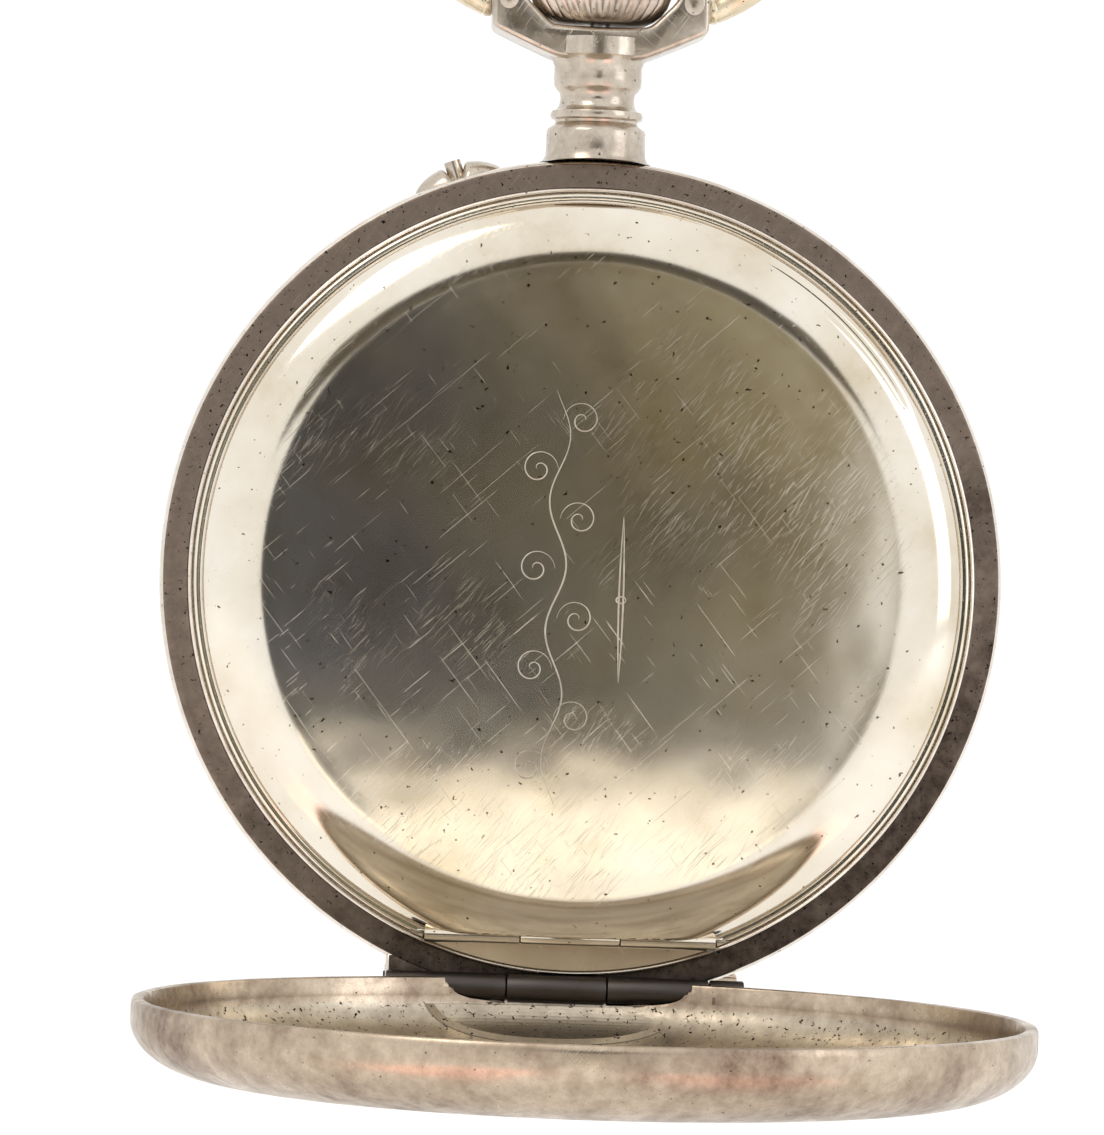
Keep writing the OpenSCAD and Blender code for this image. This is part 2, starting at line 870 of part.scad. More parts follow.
module pallet_fork() {
    color(steel) at_pallet() {
        translate([0, 0, 5.45])
            linear_extrude(0.3) {
                circle(r=0.45);
                polygon([[0, -0.3], [2.2, -0.18], [2.9, -0.5], [2.9, -0.28], [2.4, -0.12],
                         [2.4, 0.12], [2.9, 0.28], [2.9, 0.5], [2.2, 0.18], [0, 0.3]]);
                polygon([[0.3, -0.3], [0.3, 0.3], [-0.6, 2.95], [-1.3, 2.95], [-1.3, 2.75],
                         [-0.35, 0.3], [-0.35, -0.3], [-1.3, -2.75], [-1.3, -2.95],
                         [-0.6, -2.95]]);
            }
        drum(0.15, 4.6, 6.3);
    }
}

module pallet_stones() {
    color(ruby) at_pallet()
        for (side = [-1, 1])
            translate([-1.5, side * 2.86, 5.45])
                translate([-0.2, -0.2, 0])
                    cube([0.2, 0.4, 0.3]);
}

module balance_wheel() {
    color(gilt) laid() at(balance_at) {
        ring(balance_r, balance_r - 0.7, 6.65, 7.35);
        translate([-balance_r + 0.3, -0.4, 6.75])
            cube([2 * balance_r - 0.6, 0.8, 0.3]);
    }
}

module balance_staff() {
    color(steel) laid() at(balance_at) {
        difference() {
            union() {
                drum(0.35, 5.95, 6.75);
                drum(0.6, 7.05, 7.2);
                drum(0.9, 5.9, 6.1);
            }
        }
        drum(0.15, 4.6, 6);
        drum(0.3, 7.2, 7.4);
        drum(0.15, 7.4, 8.5);
        rotate(direction_of(balance_at, escape_at))
            translate([0.7, 0, 0])
                drum(0.12, 5.45, 5.95);
    }
}

module hairspring() {
    color(blued) laid() at(balance_at)
        spiral(0.5, 3, 9, 0.06, 7.45, 7.6);
}

module regulator() {
    color(steel) laid() at(balance_at)
        difference() {
            translate([0, 0, bridge_back + 0.05])
                linear_extrude(0.3) {
                    circle(r=1.7);
                    rotate(40)
                        polygon([[0, -0.6], [4.6, -0.15], [4.6, 0.15], [0, 0.6]]);
                }
            drum(1.1, 0, far);
        }
}

module jewels() {
    color(ruby) laid() {
        for (place = [centre_at, third_at, fourth_at, escape_at])
            at(place)
                ring(jewel_r, pivot_r + running, bridge_front + 0.3, bridge_back);
        at(balance_at)
            ring(jewel_r, 0.15 + running, bridge_front + 0.3, bridge_back);
    }
}

// ---- Plates and bridges ----
winding_slot = 2.6;
bridge_edge = 1.45;
seat_r = plate_r - 0.2;

module bridge_screw_holes() {
    for (spot = screw_spots)
        at(spot)
            drum(screw_shank_r, 0, far);
}

module mainplate() {
    color(gilt) laid() difference() {
        drum(plate_r, plate_front, plate_back);
        // the recess of the motion work, on the dial side
        drum(hour_size * (hour_teeth / 2 + 1.5), 0, plate_front + 0.75);
        at(minute_wheel_at)
            drum(cannon_size * (minute_teeth / 2 + 1.5), 0, plate_front + 0.75);
        // room for the winding and sliding pinions
        block([-winding_slot, 12.2, plate_back - 0.9], [winding_slot, far, far]);
        drum(arbor_r + running, 0, far);
        at(barrel_at)
            drum(1 + running, 4.5, far);
        for (place = [third_at, escape_at])
            at(place)
                drum(pivot_r + running, 0, far);
        at(fourth_at)
            drum(pivot_r + running, 0, far);
        for (place = [pallet_at, balance_at])
            at(place)
                drum(0.15 + running, 4.5, far);
        bridge_screw_holes();
        for (spot = case_screw_spots)
            at(spot)
                drum(screw_shank_r, 0, far);
    }
}

// A bridge: an outline cut from the movement's circle, on pillars that reach the mainplate
module bridge(outline, pillars) {
    intersection() {
        drum(seat_r, plate_back, bridge_back);
        union() {
            translate([0, 0, bridge_front])
                linear_extrude(bridge_back - bridge_front)
                    polygon(outline);
            for (pillar = pillars)
                block([pillar[0], pillar[1], plate_back], [pillar[2], pillar[3], bridge_back]);
        }
    }
}

module barrel_bridge() {
    color(gilt) laid() difference() {
        bridge([[-far, bridge_edge], [far, bridge_edge], [far, far], [-far, far]],
               [[7.5, bridge_edge, far, far]]);
        block([-winding_slot, 12.2, 0], [winding_slot, 16.85, bridge_back - 0.25]);
        block([-winding_slot, 16.8, 0], [winding_slot, far, far]);
        at(barrel_at)
            drum(1 + running, 0, far);
        bridge_screw_holes();
    }
}

module train_bridge() {
    color(gilt) laid() difference() {
        bridge([[-5.6, bridge_edge - 0.2], [far, bridge_edge - 0.2], [far, -far], [-6.9, -far],
                [-6.9, -10.6], [-3.9, -6.6]],
               [[10, -far, far, bridge_edge - 0.2], [3, -far, 12, -16.3]]);
        for (place = [centre_at, third_at, fourth_at, escape_at])
            at(place)
                drum(jewel_r, 0, far);
        bridge_screw_holes();
    }
}

module balance_cock() {
    color(gilt) laid() difference() {
        bridge([[-14.5, -far], [-7.1, -far], [-7.1, -10.5], [-8.6, -6.3], [-11, -5.6],
                [-13.4, -6.3], [-14.4, -9.5]],
               [[-14.5, -far, -7.1, -15.6]]);
        at(balance_at)
            drum(jewel_r, 0, far);
        bridge_screw_holes();
    }
}

module pallet_bridge() {
    foot = 4.6;
    color(gilt) at_pallet()
        difference() {
            union() {
                translate([-0.6, -0.6, 5.85])
                    cube([1.2, foot + 1.2, 0.35]);
                translate([-0.6, foot - 0.6, plate_back])
                    cube([1.2, 1.2, 0.7]);
            }
            drum(0.15 + running, 0, far);
        }
}

module bridge_screws() {
    color(blued) laid()
        for (spot = screw_spots)
            at(spot)
                difference() {
                    union() {
                        drum(screw_shank_r, plate_front + 0.4, bridge_back);
                        drum(0.95, bridge_back, bridge_back + 0.35);
                    }
                    block([-1, -0.12, bridge_back + 0.2], [1, 0.12, far]);
                }
}

case_screw_spots = [[-19.6, -1.6], [0.4, -19.6]];

module case_screws() {
    color(steel) laid()
        for (spot = case_screw_spots)
            at(spot)
                difference() {
                    union() {
                        drum(screw_shank_r, plate_front + 0.2, plate_back);
                        drum(1, plate_back, plate_back + 0.5);
                    }
                    block([-1, -0.12, plate_back + 0.3], [1, 0.12, far]);
                }
}

// ---- Motion work, dial and hands ----
cannon_r = 0.65;
cannon_phase = direction_of(centre_at, minute_wheel_at) + 180 / cannon_leaves;
minute_angle = 48;   // a hand's angle is counted clockwise from twelve as the dial is read
hour_angle = 304;
seconds_angle = 150;

module cannon_pinion() {
    color(steel) laid() difference() {
        union() {
            drum(cannon_r, 1.9, 4.25);
            leaves(cannon_leaves, cannon_size, cannon_phase, 4, 4.3);
        }
        drum(arbor_r, 0, far);
    }
}

module minute_wheel() {
    color(gilt) laid() at(minute_wheel_at) {
        crossed_wheel(minute_teeth, cannon_size,
                      meshed(cannon_leaves, cannon_phase,
                             direction_of(centre_at, minute_wheel_at), minute_teeth),
                      4.02, 4.27, 1, 4);
        leaves(minute_leaves, hour_size,
               direction_of(minute_wheel_at, centre_at) + 180 / minute_leaves, 3.68, 4.02);
    }
}

module hour_wheel() {
    color(gilt) laid() difference() {
        union() {
            toothed(hour_teeth, hour_size, direction_of(centre_at, minute_wheel_at), 3.68, 3.9);
            drum(1.05, 2.4, 3.9);
        }
        drum(cannon_r + running, 0, far);
    }
}

module dial() {
    color("#f2efe6") laid() difference() {
        drum(dial_r, plate_front - 0.5, plate_front);
        drum(1.05 + 0.1, 0, far);
        at(fourth_at)
            drum(pivot_r + 0.1, 0, far);
    }
}

// A flat hand: an eye, a tapering blade and a leaf, from the eye up to its tip
module hand(angle, eye_r, bore, length, width, tail, front, back) {
    difference() {
        rotate(angle)
            translate([0, 0, front])
                linear_extrude(back - front) {
                    circle(r=eye_r);
                    polygon([
                        [-width / 2, -tail], [width / 2, -tail], [width * 0.35, length * 0.55],
                        [width, length * 0.68], [width * 0.3, length * 0.82], [0, length],
                        [-width * 0.3, length * 0.82], [-width, length * 0.68],
                        [-width * 0.35, length * 0.55]]);
                }
        drum(bore, 0, far);
    }
}

module hour_hand() {
    color(blued) laid()
        hand(hour_angle, 1.6, 1.05, 10.5, 0.9, 0, 2.4, 2.6);
}

module minute_hand() {
    color(blued) laid()
        hand(minute_angle, 1.3, cannon_r, 16.5, 0.7, 0, 1.95, 2.15);
}

module seconds_hand() {
    color(blued) laid() at(fourth_at)
        hand(seconds_angle, 0.5, pivot_r, 4.2, 0.25, 1.4, 2.75, 2.9);
}

case_middle();
cuvette_sill();
pendant();
bow();
bow_screws();
crown();
winding_stem();
winding_pinion();
sliding_pinion();
push_guard();
push_pin();
setting_yoke();
yoke_spring();
back_cover();
cover_lug_plate();
back_hinge_pin();
cuvette();
cuvette_hinge_pin();
front_bezel();
bezel_hinge_pin();
crystal();
dial();
hour_hand();
minute_hand();
seconds_hand();
cannon_pinion();
minute_wheel();
hour_wheel();
mainplate();
barrel_bridge();
train_bridge();
balance_cock();
pallet_bridge();
barrel_drum();
barrel_cover();
barrel_arbor();
mainspring();
ratchet_wheel();
ratchet_screw();
crown_wheel();
crown_wheel_screw();
click();
click_spring();
centre_wheel();
third_wheel();
fourth_wheel();
escape_wheel();
pallet_fork();
pallet_stones();
balance_wheel();
balance_staff();
hairspring();
regulator();
jewels();
bridge_screws();
case_screws();
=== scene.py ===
import math

import bmesh
import bpy
import numpy as np
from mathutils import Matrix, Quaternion, Vector


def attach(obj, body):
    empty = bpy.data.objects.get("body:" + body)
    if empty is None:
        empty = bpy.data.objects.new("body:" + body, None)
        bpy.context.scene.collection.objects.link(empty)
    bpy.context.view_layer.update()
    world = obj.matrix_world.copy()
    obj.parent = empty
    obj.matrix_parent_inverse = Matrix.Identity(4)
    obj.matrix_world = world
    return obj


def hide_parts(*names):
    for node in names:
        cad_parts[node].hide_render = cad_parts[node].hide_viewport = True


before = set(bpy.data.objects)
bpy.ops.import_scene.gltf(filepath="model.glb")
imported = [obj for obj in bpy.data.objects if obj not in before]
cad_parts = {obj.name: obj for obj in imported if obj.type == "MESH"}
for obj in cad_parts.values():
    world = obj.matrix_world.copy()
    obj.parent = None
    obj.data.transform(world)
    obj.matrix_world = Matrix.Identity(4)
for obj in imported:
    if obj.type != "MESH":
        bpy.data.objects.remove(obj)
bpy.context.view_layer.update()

print("stage 1: frame loaded")
mm = 0.001

# The case: the same driving sizes as the frame's, in millimetres
case = {"r": 25.0, "front": 3.6, "back": 9.0, "bore": 21.6, "rebate": (23.32, 24.72, 8.9),
        "segments": 288}
hinge = {"up": -24.1, "back": 9.6, "front": 3.0, "r": 0.8, "groove": 0.9,
         "caseSpans": [(-10.8, -3.7), (2.3, 8.3)], "coverSpans": [(-3.65, 2.25), (8.35, 10.4)],
         "gap": 0.05, "darkR": 0.83, "webUp": (-24.5, -22.6), "caseWebUp": (-24.55, -22.3)}
stemDepth = 6.9
bowPivotUp = 34.2


# ---- shapes ----
def place(points):
    # (x, up, depth) in millimetres becomes (x, -depth, up) in metres
    p = np.asarray(points, float)
    return np.stack([p[..., 0], -p[..., 2], p[..., 1]], -1) * mm


def solidFrom(name, points, faces, sharp=32):
    # a mesh from points and faces: doubles merged, normals turned outwards, smooth up to an angle
    mesh = bpy.data.meshes.new(name)
    mesh.from_pydata(np.asarray(points).tolist(), [], [[int(k) for k in face] for face in faces])
    work = bmesh.new()
    work.from_mesh(mesh)
    bmesh.ops.remove_doubles(work, verts=work.verts, dist=2e-7)
    bmesh.ops.dissolve_degenerate(work, edges=work.edges, dist=1e-8)
    bmesh.ops.recalc_face_normals(work, faces=work.faces)
    work.to_mesh(mesh)
    work.free()
    # faces with more than four corners are flat ends, and stay flat shaded
    corners = np.empty(len(mesh.polygons), np.int32)
    mesh.polygons.foreach_get("loop_total", corners)
    mesh.polygons.foreach_set("use_smooth", corners <= 4)
    mesh.set_sharp_from_angle(angle=math.radians(sharp))
    piece = bpy.data.objects.new(name, mesh)
    bpy.context.scene.collection.objects.link(piece)
    return piece


def gridFaces(rows, columns, closeRows, closeColumns, start=0):
    # quads between neighbouring rows and columns of a grid, wrapped round where it closes
    i = np.arange(rows if closeRows else rows - 1)
    j = np.arange(columns if closeColumns else columns - 1)
    a, b = np.meshgrid(i, j, indexing="ij")
    c, d = (a + 1) % rows, (b + 1) % columns
    quads = np.stack([a * columns + b, c * columns + b, c * columns + d, a * columns + d], -1)
    return quads.reshape(-1, 4) + start


def revolved(profile, segments, chord=None, ripple=None):
    # a closed profile of (radius, depth) turned about the depth axis; past a chord the points
    # slide in along their own radius, which makes a straight wall there
    turn = np.linspace(0, 2 * np.pi, segments, endpoint=False)
    r, depth = (np.asarray(column, float) for column in zip(*profile))
    radius = np.broadcast_to(r, (segments, len(r))).copy()
    deep = np.broadcast_to(depth, radius.shape).copy()
    if ripple:
        radius, deep = ripple(radius, deep, turn[:, None])
    if chord is not None:
        down = np.maximum(-np.cos(turn[:, None]), 1e-6)
        radius = np.where(np.cos(turn[:, None]) < 0, np.minimum(radius, -chord / down), radius)
    points = np.stack([radius * np.sin(turn)[:, None], radius * np.cos(turn)[:, None], deep], -1)
    return points.reshape(-1, 3), gridFaces(segments, len(r), True, True)


def merged(*shapes):
    # several (points, faces) as one, all in (x, up, depth)
    points, faces, start = [], [], 0
    for p, f in shapes:
        points.append(np.asarray(p).reshape(-1, 3))
        faces += [[int(k) + start for k in face] for face in f]
        start += len(points[-1])
    return np.concatenate(points), faces


def rodAcross(r, x0, x1, up, depth, easing=0.12, segments=40):
    # a round bar along x with its ends rounded over
    along = np.array([x0, x0, x0 + easing * 0.3, x0 + easing, x1 - easing, x1 - easing * 0.3, x1, x1])
    radius = np.array([1e-5, r - easing, r - easing * 0.3, r, r, r - easing * 0.3, r - easing, 1e-5])
    turn = np.linspace(0, 2 * np.pi, segments, endpoint=False)[:, None]
    points = np.stack([along + 0 * turn, up + radius * np.cos(turn), depth + radius * np.sin(turn)], -1)
    return points.reshape(-1, 3), gridFaces(segments, len(along), True, False)


def swept(path, width, thick, power, side, segments=36):
    # a rounded section (superellipse) carried along a path in the (x, up) plane; width lies in
    # the plane and thick along the depth, and the ends close to a point
    path = np.asarray(path, float)
    run = np.gradient(path, axis=0)
    run /= np.linalg.norm(run, axis=1)[:, None]
    across = np.stack([run[:, 1], -run[:, 0]], -1) * side
    turn = np.linspace(0, 2 * np.pi, segments, endpoint=False)
    c, s = np.cos(turn), np.sin(turn)
    u = np.sign(c) * np.abs(c) ** (2 / power)
    v = np.sign(s) * np.abs(s) ** (2 / power)
    w = np.broadcast_to(width, len(path))[:, None] / 2
    t = np.broadcast_to(thick, len(path))[:, None] / 2
    points = np.stack([path[:, :1] + across[:, :1] * w * u, path[:, 1:] + across[:, 1:] * w * u,
                       stemDepth + t * v], -1)
    caps = np.broadcast_to(np.array([[path[0, 0], path[0, 1], stemDepth]]), (1, segments, 3))
    ends = np.broadcast_to(np.array([[path[-1, 0], path[-1, 1], stemDepth]]), (1, segments, 3))
    points = np.concatenate([caps, points, ends])
    return points.reshape(-1, 3), gridFaces(len(path) + 2, segments, False, True)


def smoothed(profile, times=2, closed=True):
    # corners cut back twice (Chaikin), so that edges catch the light as real ones do
    p = np.asarray(profile, float)
    for _ in range(times):
        following = np.roll(p, -1, 0)
        p = np.stack([0.75 * p + 0.25 * following, 0.25 * p + 0.75 * following], 1).reshape(-1, 2)
    return p


# ---- materials ----
def linearFromHex(code):
    # an sRGB hex colour as the linear values that Blender works in
    channels = [int(code[i:i + 2], 16) / 255 for i in (1, 3, 5)]
    return [c / 12.92 if c <= 0.04045 else ((c + 0.055) / 1.055) ** 2.4 for c in channels] + [1.0]


def newMaterial(name, **sockets):
    # a material whose shader's own sockets are set from the names given
    material = bpy.data.materials.new(name)
    material.use_nodes = True
    tree = material.node_tree
    shader = tree.nodes["Principled BSDF"]
    for socket, value in sockets.items():
        shader.inputs[socket.replace("_", " ")].default_value = value
    return material, tree, shader


def addNode(tree, kind, inputs=None, stops=(), out=0, **settings):
    # one node with its settings; an input is a value, a hex colour or another node's output, and
    # stops are a ramp's places with a hex colour or a grey; it gives back one of its outputs
    node = tree.nodes.new("ShaderNode" + kind)
    for key, value in settings.items():
        setattr(node, key, value)
    for key, value in (inputs or {}).items():
        if isinstance(value, bpy.types.NodeSocket):
            tree.links.new(value, node.inputs[key])
        else:
            node.inputs[key].default_value = linearFromHex(value) if isinstance(value, str) else value
    if stops:
        elements = node.color_ramp.elements
        while len(elements) < len(stops):
            elements.new(0.5)
        for element, (spot, shade) in zip(elements, stops):
            element.position = spot
            element.color = linearFromHex(shade) if isinstance(shade, str) else [shade, shade, shade, 1]
    return node.outputs[out]


def patchy(tree, space, size, stops, detail=4.0, roughness=0.6):
    # soft patches: noise with lumps of a size in millimetres, read through a ramp
    noise = addNode(tree, "TexNoise", {"Vector": space, "Scale": 1 / (size * mm), "Detail": detail,
                                       "Roughness": roughness})
    return addNode(tree, "ValToRGB", {"Fac": noise}, stops)


def scratchLines(tree, space, angle, across, along, threshold):
    # hairlines in one direction: noise stretched along them and kept above a threshold; across
    # and along are their width and length in millimetres
    turned = addNode(tree, "Mapping", {"Vector": space, "Rotation": (0, math.radians(angle), 0),
                                       "Scale": (across * mm, across * mm, along * mm)},
                     vector_type="TEXTURE")
    noise = addNode(tree, "TexNoise", {"Vector": turned, "Scale": 1.0, "Detail": 2.0, "Roughness": 0.6})
    return addNode(tree, "ValToRGB", {"Fac": noise}, [(threshold, 0.0), (threshold + 0.04, 1.0)])


# a mix of colours: input 0 is the factor, and 6 and 7 are the two colours
asColours = {"out": 2, "data_type": "RGBA"}


def feed(tree, shader, **sources):
    # outputs linked to the shader's sockets of the names given
    for socket, source in sources.items():
        tree.links.new(source, shader.inputs[socket.replace("_", " ")])


def silverMaterial(name, bright, dull, deep, roughness, cover, pits, bump, lean=(0, 0)):
    # silver after a century in pockets: a soft polish with warm brown sulphide in patches, dark
    # pinpoint pits, and hairlines that scatter its reflections; the lean adds a painted shade,
    # which darkens the patches by its amount for each metre to the right and upwards
    material, tree, shader = newMaterial(name, Metallic=1.0, Roughness=roughness)
    space = addNode(tree, "TexCoord", out="Object")
    slope = addNode(tree, "VectorMath", {0: space, 1: (lean[0], 0, lean[1])}, out=1,
                    operation="DOT_PRODUCT")
    noise = addNode(tree, "TexNoise", {"Vector": space, "Scale": 1 / (7 * mm), "Detail": 4.0,
                                       "Roughness": 0.6})
    cloud = addNode(tree, "Math", {0: noise, 1: slope}, operation="ADD")
    patches = addNode(tree, "ValToRGB", {"Fac": cloud},
                      [(0.62 - 0.3 * cover, 0.0), (0.85 - 0.2 * cover, 1.0)])
    fine = patchy(tree, space, 0.9, [(0.35, 0.0), (0.75, 1.0)], 6.0, 0.7)
    stain = addNode(tree, "Mix", {0: 0.45, 6: patches, 7: fine}, **asColours)
    dots = patchy(tree, space, 0.28, [(0.72 - 0.1 * pits, 0.0), (0.78 - 0.1 * pits, 1.0)], 2.0)
    lines = addNode(tree, "Mix", {0: 0.5, 6: scratchLines(tree, space, 35, 0.05, 4, 0.66),
                                  7: scratchLines(tree, space, -50, 0.06, 6, 0.68)}, **asColours)
    stained = addNode(tree, "Mix", {0: stain, 6: bright, 7: dull}, **asColours)
    colour = addNode(tree, "Mix", {0: dots, 6: stained, 7: deep}, **asColours)
    matt = addNode(tree, "Math", {0: stain, 1: 0.3, 2: roughness}, operation="MULTIPLY_ADD")
    marks = addNode(tree, "Mix", {0: 0.5, 6: dots, 7: lines}, **asColours)
    relief = addNode(tree, "Bump", {"Height": marks, "Strength": bump, "Distance": 0.03 * mm},
                     invert=True)
    feed(tree, shader, Base_Color=colour, Roughness=matt, Normal=relief)
    return material


def mirrorSilver():
    # machine-polished silver: a near mirror with a faint yellow film and a few pits, crossed by
    # wipe marks in places and by deeper scratches
    material, tree, shader = newMaterial("mirrorPolishedSilver", Metallic=1.0, Roughness=0.09)
    space = addNode(tree, "TexCoord", out="Object")
    film = patchy(tree, space, 9.0, [(0.3, "#efe8dc"), (0.55, "#e2d8c6"), (0.75, "#cdbfa4")], 5.0)
    wipes = addNode(tree, "Mix", {0: 0.5, 6: scratchLines(tree, space, 42, 0.08, 2.4, 0.62),
                                  7: scratchLines(tree, space, 28, 0.09, 1.8, 0.64)}, **asColours)
    deep = addNode(tree, "Mix", {0: 0.5, 6: scratchLines(tree, space, 48, 0.07, 9.0, 0.7),
                                 7: scratchLines(tree, space, -38, 0.07, 7.0, 0.71)}, **asColours)
    where = patchy(tree, space, 11.0, [(0.45, 0.0), (0.72, 0.8)], 2.0)
    wiped = addNode(tree, "Mix", {0: where, 6: "#000000", 7: wipes}, **asColours)
    dots = patchy(tree, space, 0.33, [(0.73, 0.0), (0.77, 1.0)], 1.0)
    colour = addNode(tree, "Mix", {0: dots, 6: film, 7: "#6b5a45"}, **asColours)
    marks = addNode(tree, "Mix", {0: 0.45, 6: wiped, 7: deep}, **asColours)
    matt = addNode(tree, "Math", {0: marks, 1: 0.4, 2: 0.1}, operation="MULTIPLY_ADD")
    # the sheet isn't quite flat, so what it reflects wavers
    ripple = addNode(tree, "TexNoise", {"Vector": space, "Scale": 1 / (6 * mm), "Detail": 1.0,
                                        "Roughness": 0.6})
    wave = addNode(tree, "Bump", {"Height": ripple, "Strength": 0.12, "Distance": 0.25 * mm})
    relief = addNode(tree, "Bump", {"Height": marks, "Strength": 0.2, "Distance": 0.02 * mm,
                                    "Normal": wave}, invert=True)
    feed(tree, shader, Base_Color=colour, Roughness=matt, Normal=relief)
    return material


def brushedSteel(name, colour, roughness):
    # hardened steel, straight-grained on a buff: a satin sheen with fine parallel lines
    material, tree, shader = newMaterial(name, Metallic=1.0, Roughness=roughness)
    space = addNode(tree, "TexCoord", out="Object")
    noise = addNode(tree, "TexNoise", {"Vector": space, "Scale": 1 / (2 * mm), "Detail": 4.0,
                                       "Roughness": 0.6})
    shade = addNode(tree, "Mix", {0: noise, 6: colour, 7: "#8c8f94"}, **asColours)
    faint = addNode(tree, "Mix", {0: 0.85, 6: shade, 7: colour}, **asColours)
    grain = scratchLines(tree, space, 90, 0.05, 3, 0.5)
    relief = addNode(tree, "Bump", {"Height": grain, "Strength": 0.15, "Distance": 0.01 * mm})
    feed(tree, shader, Base_Color=faint, Normal=relief)
    return material


def driftingColour(name, size, stops, detail=4.0, grain=None, **sockets):
    # a material whose colour drifts in patches of a size in millimetres; grain is the size,
    # detail, strength and depth of a fine unevenness
    material, tree, shader = newMaterial(name, **sockets)
    space = addNode(tree, "TexCoord", out="Object")
    feed(tree, shader, Base_Color=patchy(tree, space, size, stops, detail))
    if grain:
        noise = addNode(tree, "TexNoise", {"Vector": space, "Scale": 1 / (grain[0] * mm),
                                           "Detail": grain[1], "Roughness": 0.6})
        relief = addNode(tree, "Bump", {"Height": noise, "Strength": grain[2],
                                        "Distance": grain[3] * mm})
        feed(tree, shader, Normal=relief)
    return material


def crystalGlass():
    # clear mineral glass with a trace of wipe marks
    material, tree, shader = newMaterial("clearMineralGlass", Base_Color=(1, 1, 1, 1), Roughness=0.02,
                                         IOR=1.52, Transmission_Weight=1.0)
    space = addNode(tree, "TexCoord", out="Object")
    wipes = scratchLines(tree, space, 30, 0.08, 6, 0.7)
    relief = addNode(tree, "Bump", {"Height": wipes, "Strength": 0.05, "Distance": 0.01 * mm},
                     invert=True)
    feed(tree, shader, Normal=relief)
    return material


# the band's outside and bezel: the best kept polish, warm white with light brown clouds
wornSilver = silverMaterial("wornPolishedSilver", "#e9e1d6", "#b7a795", "#4a3f36", 0.16, 0.35, 0.3, 0.35)
# the rebate, where the closed cover keeps dirt in: brown black tarnish, and a painted shade that
# deepens to the right and downwards, so that it is darkest by the hinge
tarnishAndShadeSilver = silverMaterial("tarnishAndShadeSilver", "#86786c", "#2a221d", "#120e0b", 0.34, 0.45, 0.9, 0.7,
                                 lean=(7, -10))
# neck and fork: still bright, with hard highlights and grey brown hollows
neckSilver = silverMaterial("greyedPendantSilver", "#d0c5b6", "#7d6d5c", "#2c241c", 0.13, 0.5, 0.4, 0.5)
# the outside of the back cover: rubbed cream and pinkish brown in clouds
coverOutside = silverMaterial("brownedCoverSilver", "#cdbca6", "#6a5445", "#33271f", 0.2, 0.8, 0.2, 0.4)
# its inside, never polished: dull and peppered with black pits
coverInside = silverMaterial("unpolishedCoverInside", "#cbbfab", "#7d6f5e", "#2b2119", 0.26, 0.75, 1.0, 0.8)
# the crown, dulled by fingers
crownSilver = silverMaterial("crownSilver", "#d9cfc2", "#8d7f71", "#3a312a", 0.24, 0.6, 0.5, 0.4)
# cut lines, which scatter light and so look paler than the mirror round them
engraved = silverMaterial("engravedLine", "#c9bfb0", "#7f7264", "#4a4036", 0.3, 0.5, 0.3, 0.2)
# the bow: the same silver gone straw yellow
bowSilver = silverMaterial("yellowedSilver", "#e4d8bf", "#b19a6f", "#4d3f2c", 0.2, 0.5, 0.4, 0.35)
mirror = mirrorSilver()
plainSteel = brushedSteel("straightGrainedSteel", "#b4b6b8", 0.26)
darkSteel = brushedSteel("oilBlackenedHingeSteel", "#4b443e", 0.4)
# brass plates, frosted and mercury gilt: a matt golden grain with darker age spots
gilt = driftingColour("frostedGiltBrass", 1.6,
                      [(0.35, "#8f6a2c"), (0.55, "#d0a24c"), (0.8, "#e6bf70")], 6.0,
                      (0.06, 3.0, 0.35, 0.02), Metallic=1.0, Roughness=0.42)
# steel tempered to a deep blue, which turns violet in places
blued = driftingColour("bluedSteel", 1.5, [(0.3, "#16265f"), (0.6, "#2a3d8f"), (0.8, "#3f2f7a")],
                   Metallic=1.0, Roughness=0.2)
# fired white enamel: glassy, milky, with a very slight orange peel
enamel = driftingColour("firedWhiteEnamel", 8.0, [(0.3, "#f3efe4"), (0.7, "#f8f5ec")], 4.0,
                    (1.2, 4.0, 0.08, 0.02), Roughness=0.12, Coat_Weight=0.6, Coat_Roughness=0.04)
glass = crystalGlass()
# synthetic corundum, deep pink red and glossy
ruby = driftingColour("syntheticRuby", 0.5, [(0.3, "#8c0a2a"), (0.7, "#d0234f")],
                  Roughness=0.06, IOR=1.77, Coat_Weight=0.3)
# black enamel paint fired into the dial, a little glossy
blackPaint = driftingColour("firedBlackPaint", 0.7, [(0.3, "#0d0c0c"), (0.8, "#1d1a1a")], Roughness=0.25)
print("stage 2: materials made")


# ---- pieces ----
def finish(piece, body, material, slotName, *replaced, extra=()):
    # the piece gets its materials, rides on its body and stands for the frame's nodes
    for one in (material, *extra):
        piece.data.materials.append(one)
    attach(piece, body)
    if replaced:
        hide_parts(*replaced)
    return piece


def paintBy(piece, index, rule):
    # faces whose centre (x, up, depth in millimetres) meets the rule take another material slot
    count = len(piece.data.polygons)
    centre = np.empty(count * 3)
    piece.data.polygons.foreach_get("center", centre)
    centre = centre.reshape(-1, 3) / mm
    chosen = rule(centre[:, 0], centre[:, 2], -centre[:, 1])
    current = np.empty(count, np.int32)
    piece.data.polygons.foreach_get("material_index", current)
    current[chosen] = index
    piece.data.polygons.foreach_set("material_index", current)


def openedCover(points):
    # the closed cover's points turned a quarter turn about its hinge, to where it rests open
    up, depth = points[:, 1] - hinge["up"], points[:, 2] - hinge["back"]
    return np.stack([points[:, 0], hinge["up"] - depth, hinge["back"] + up], -1)


def knuckleRow(spans, up, depth, r):
    # one rounded bar along the hinge line for each span
    return merged(*[rodAcross(r, a, b, up, depth) for a, b in spans])


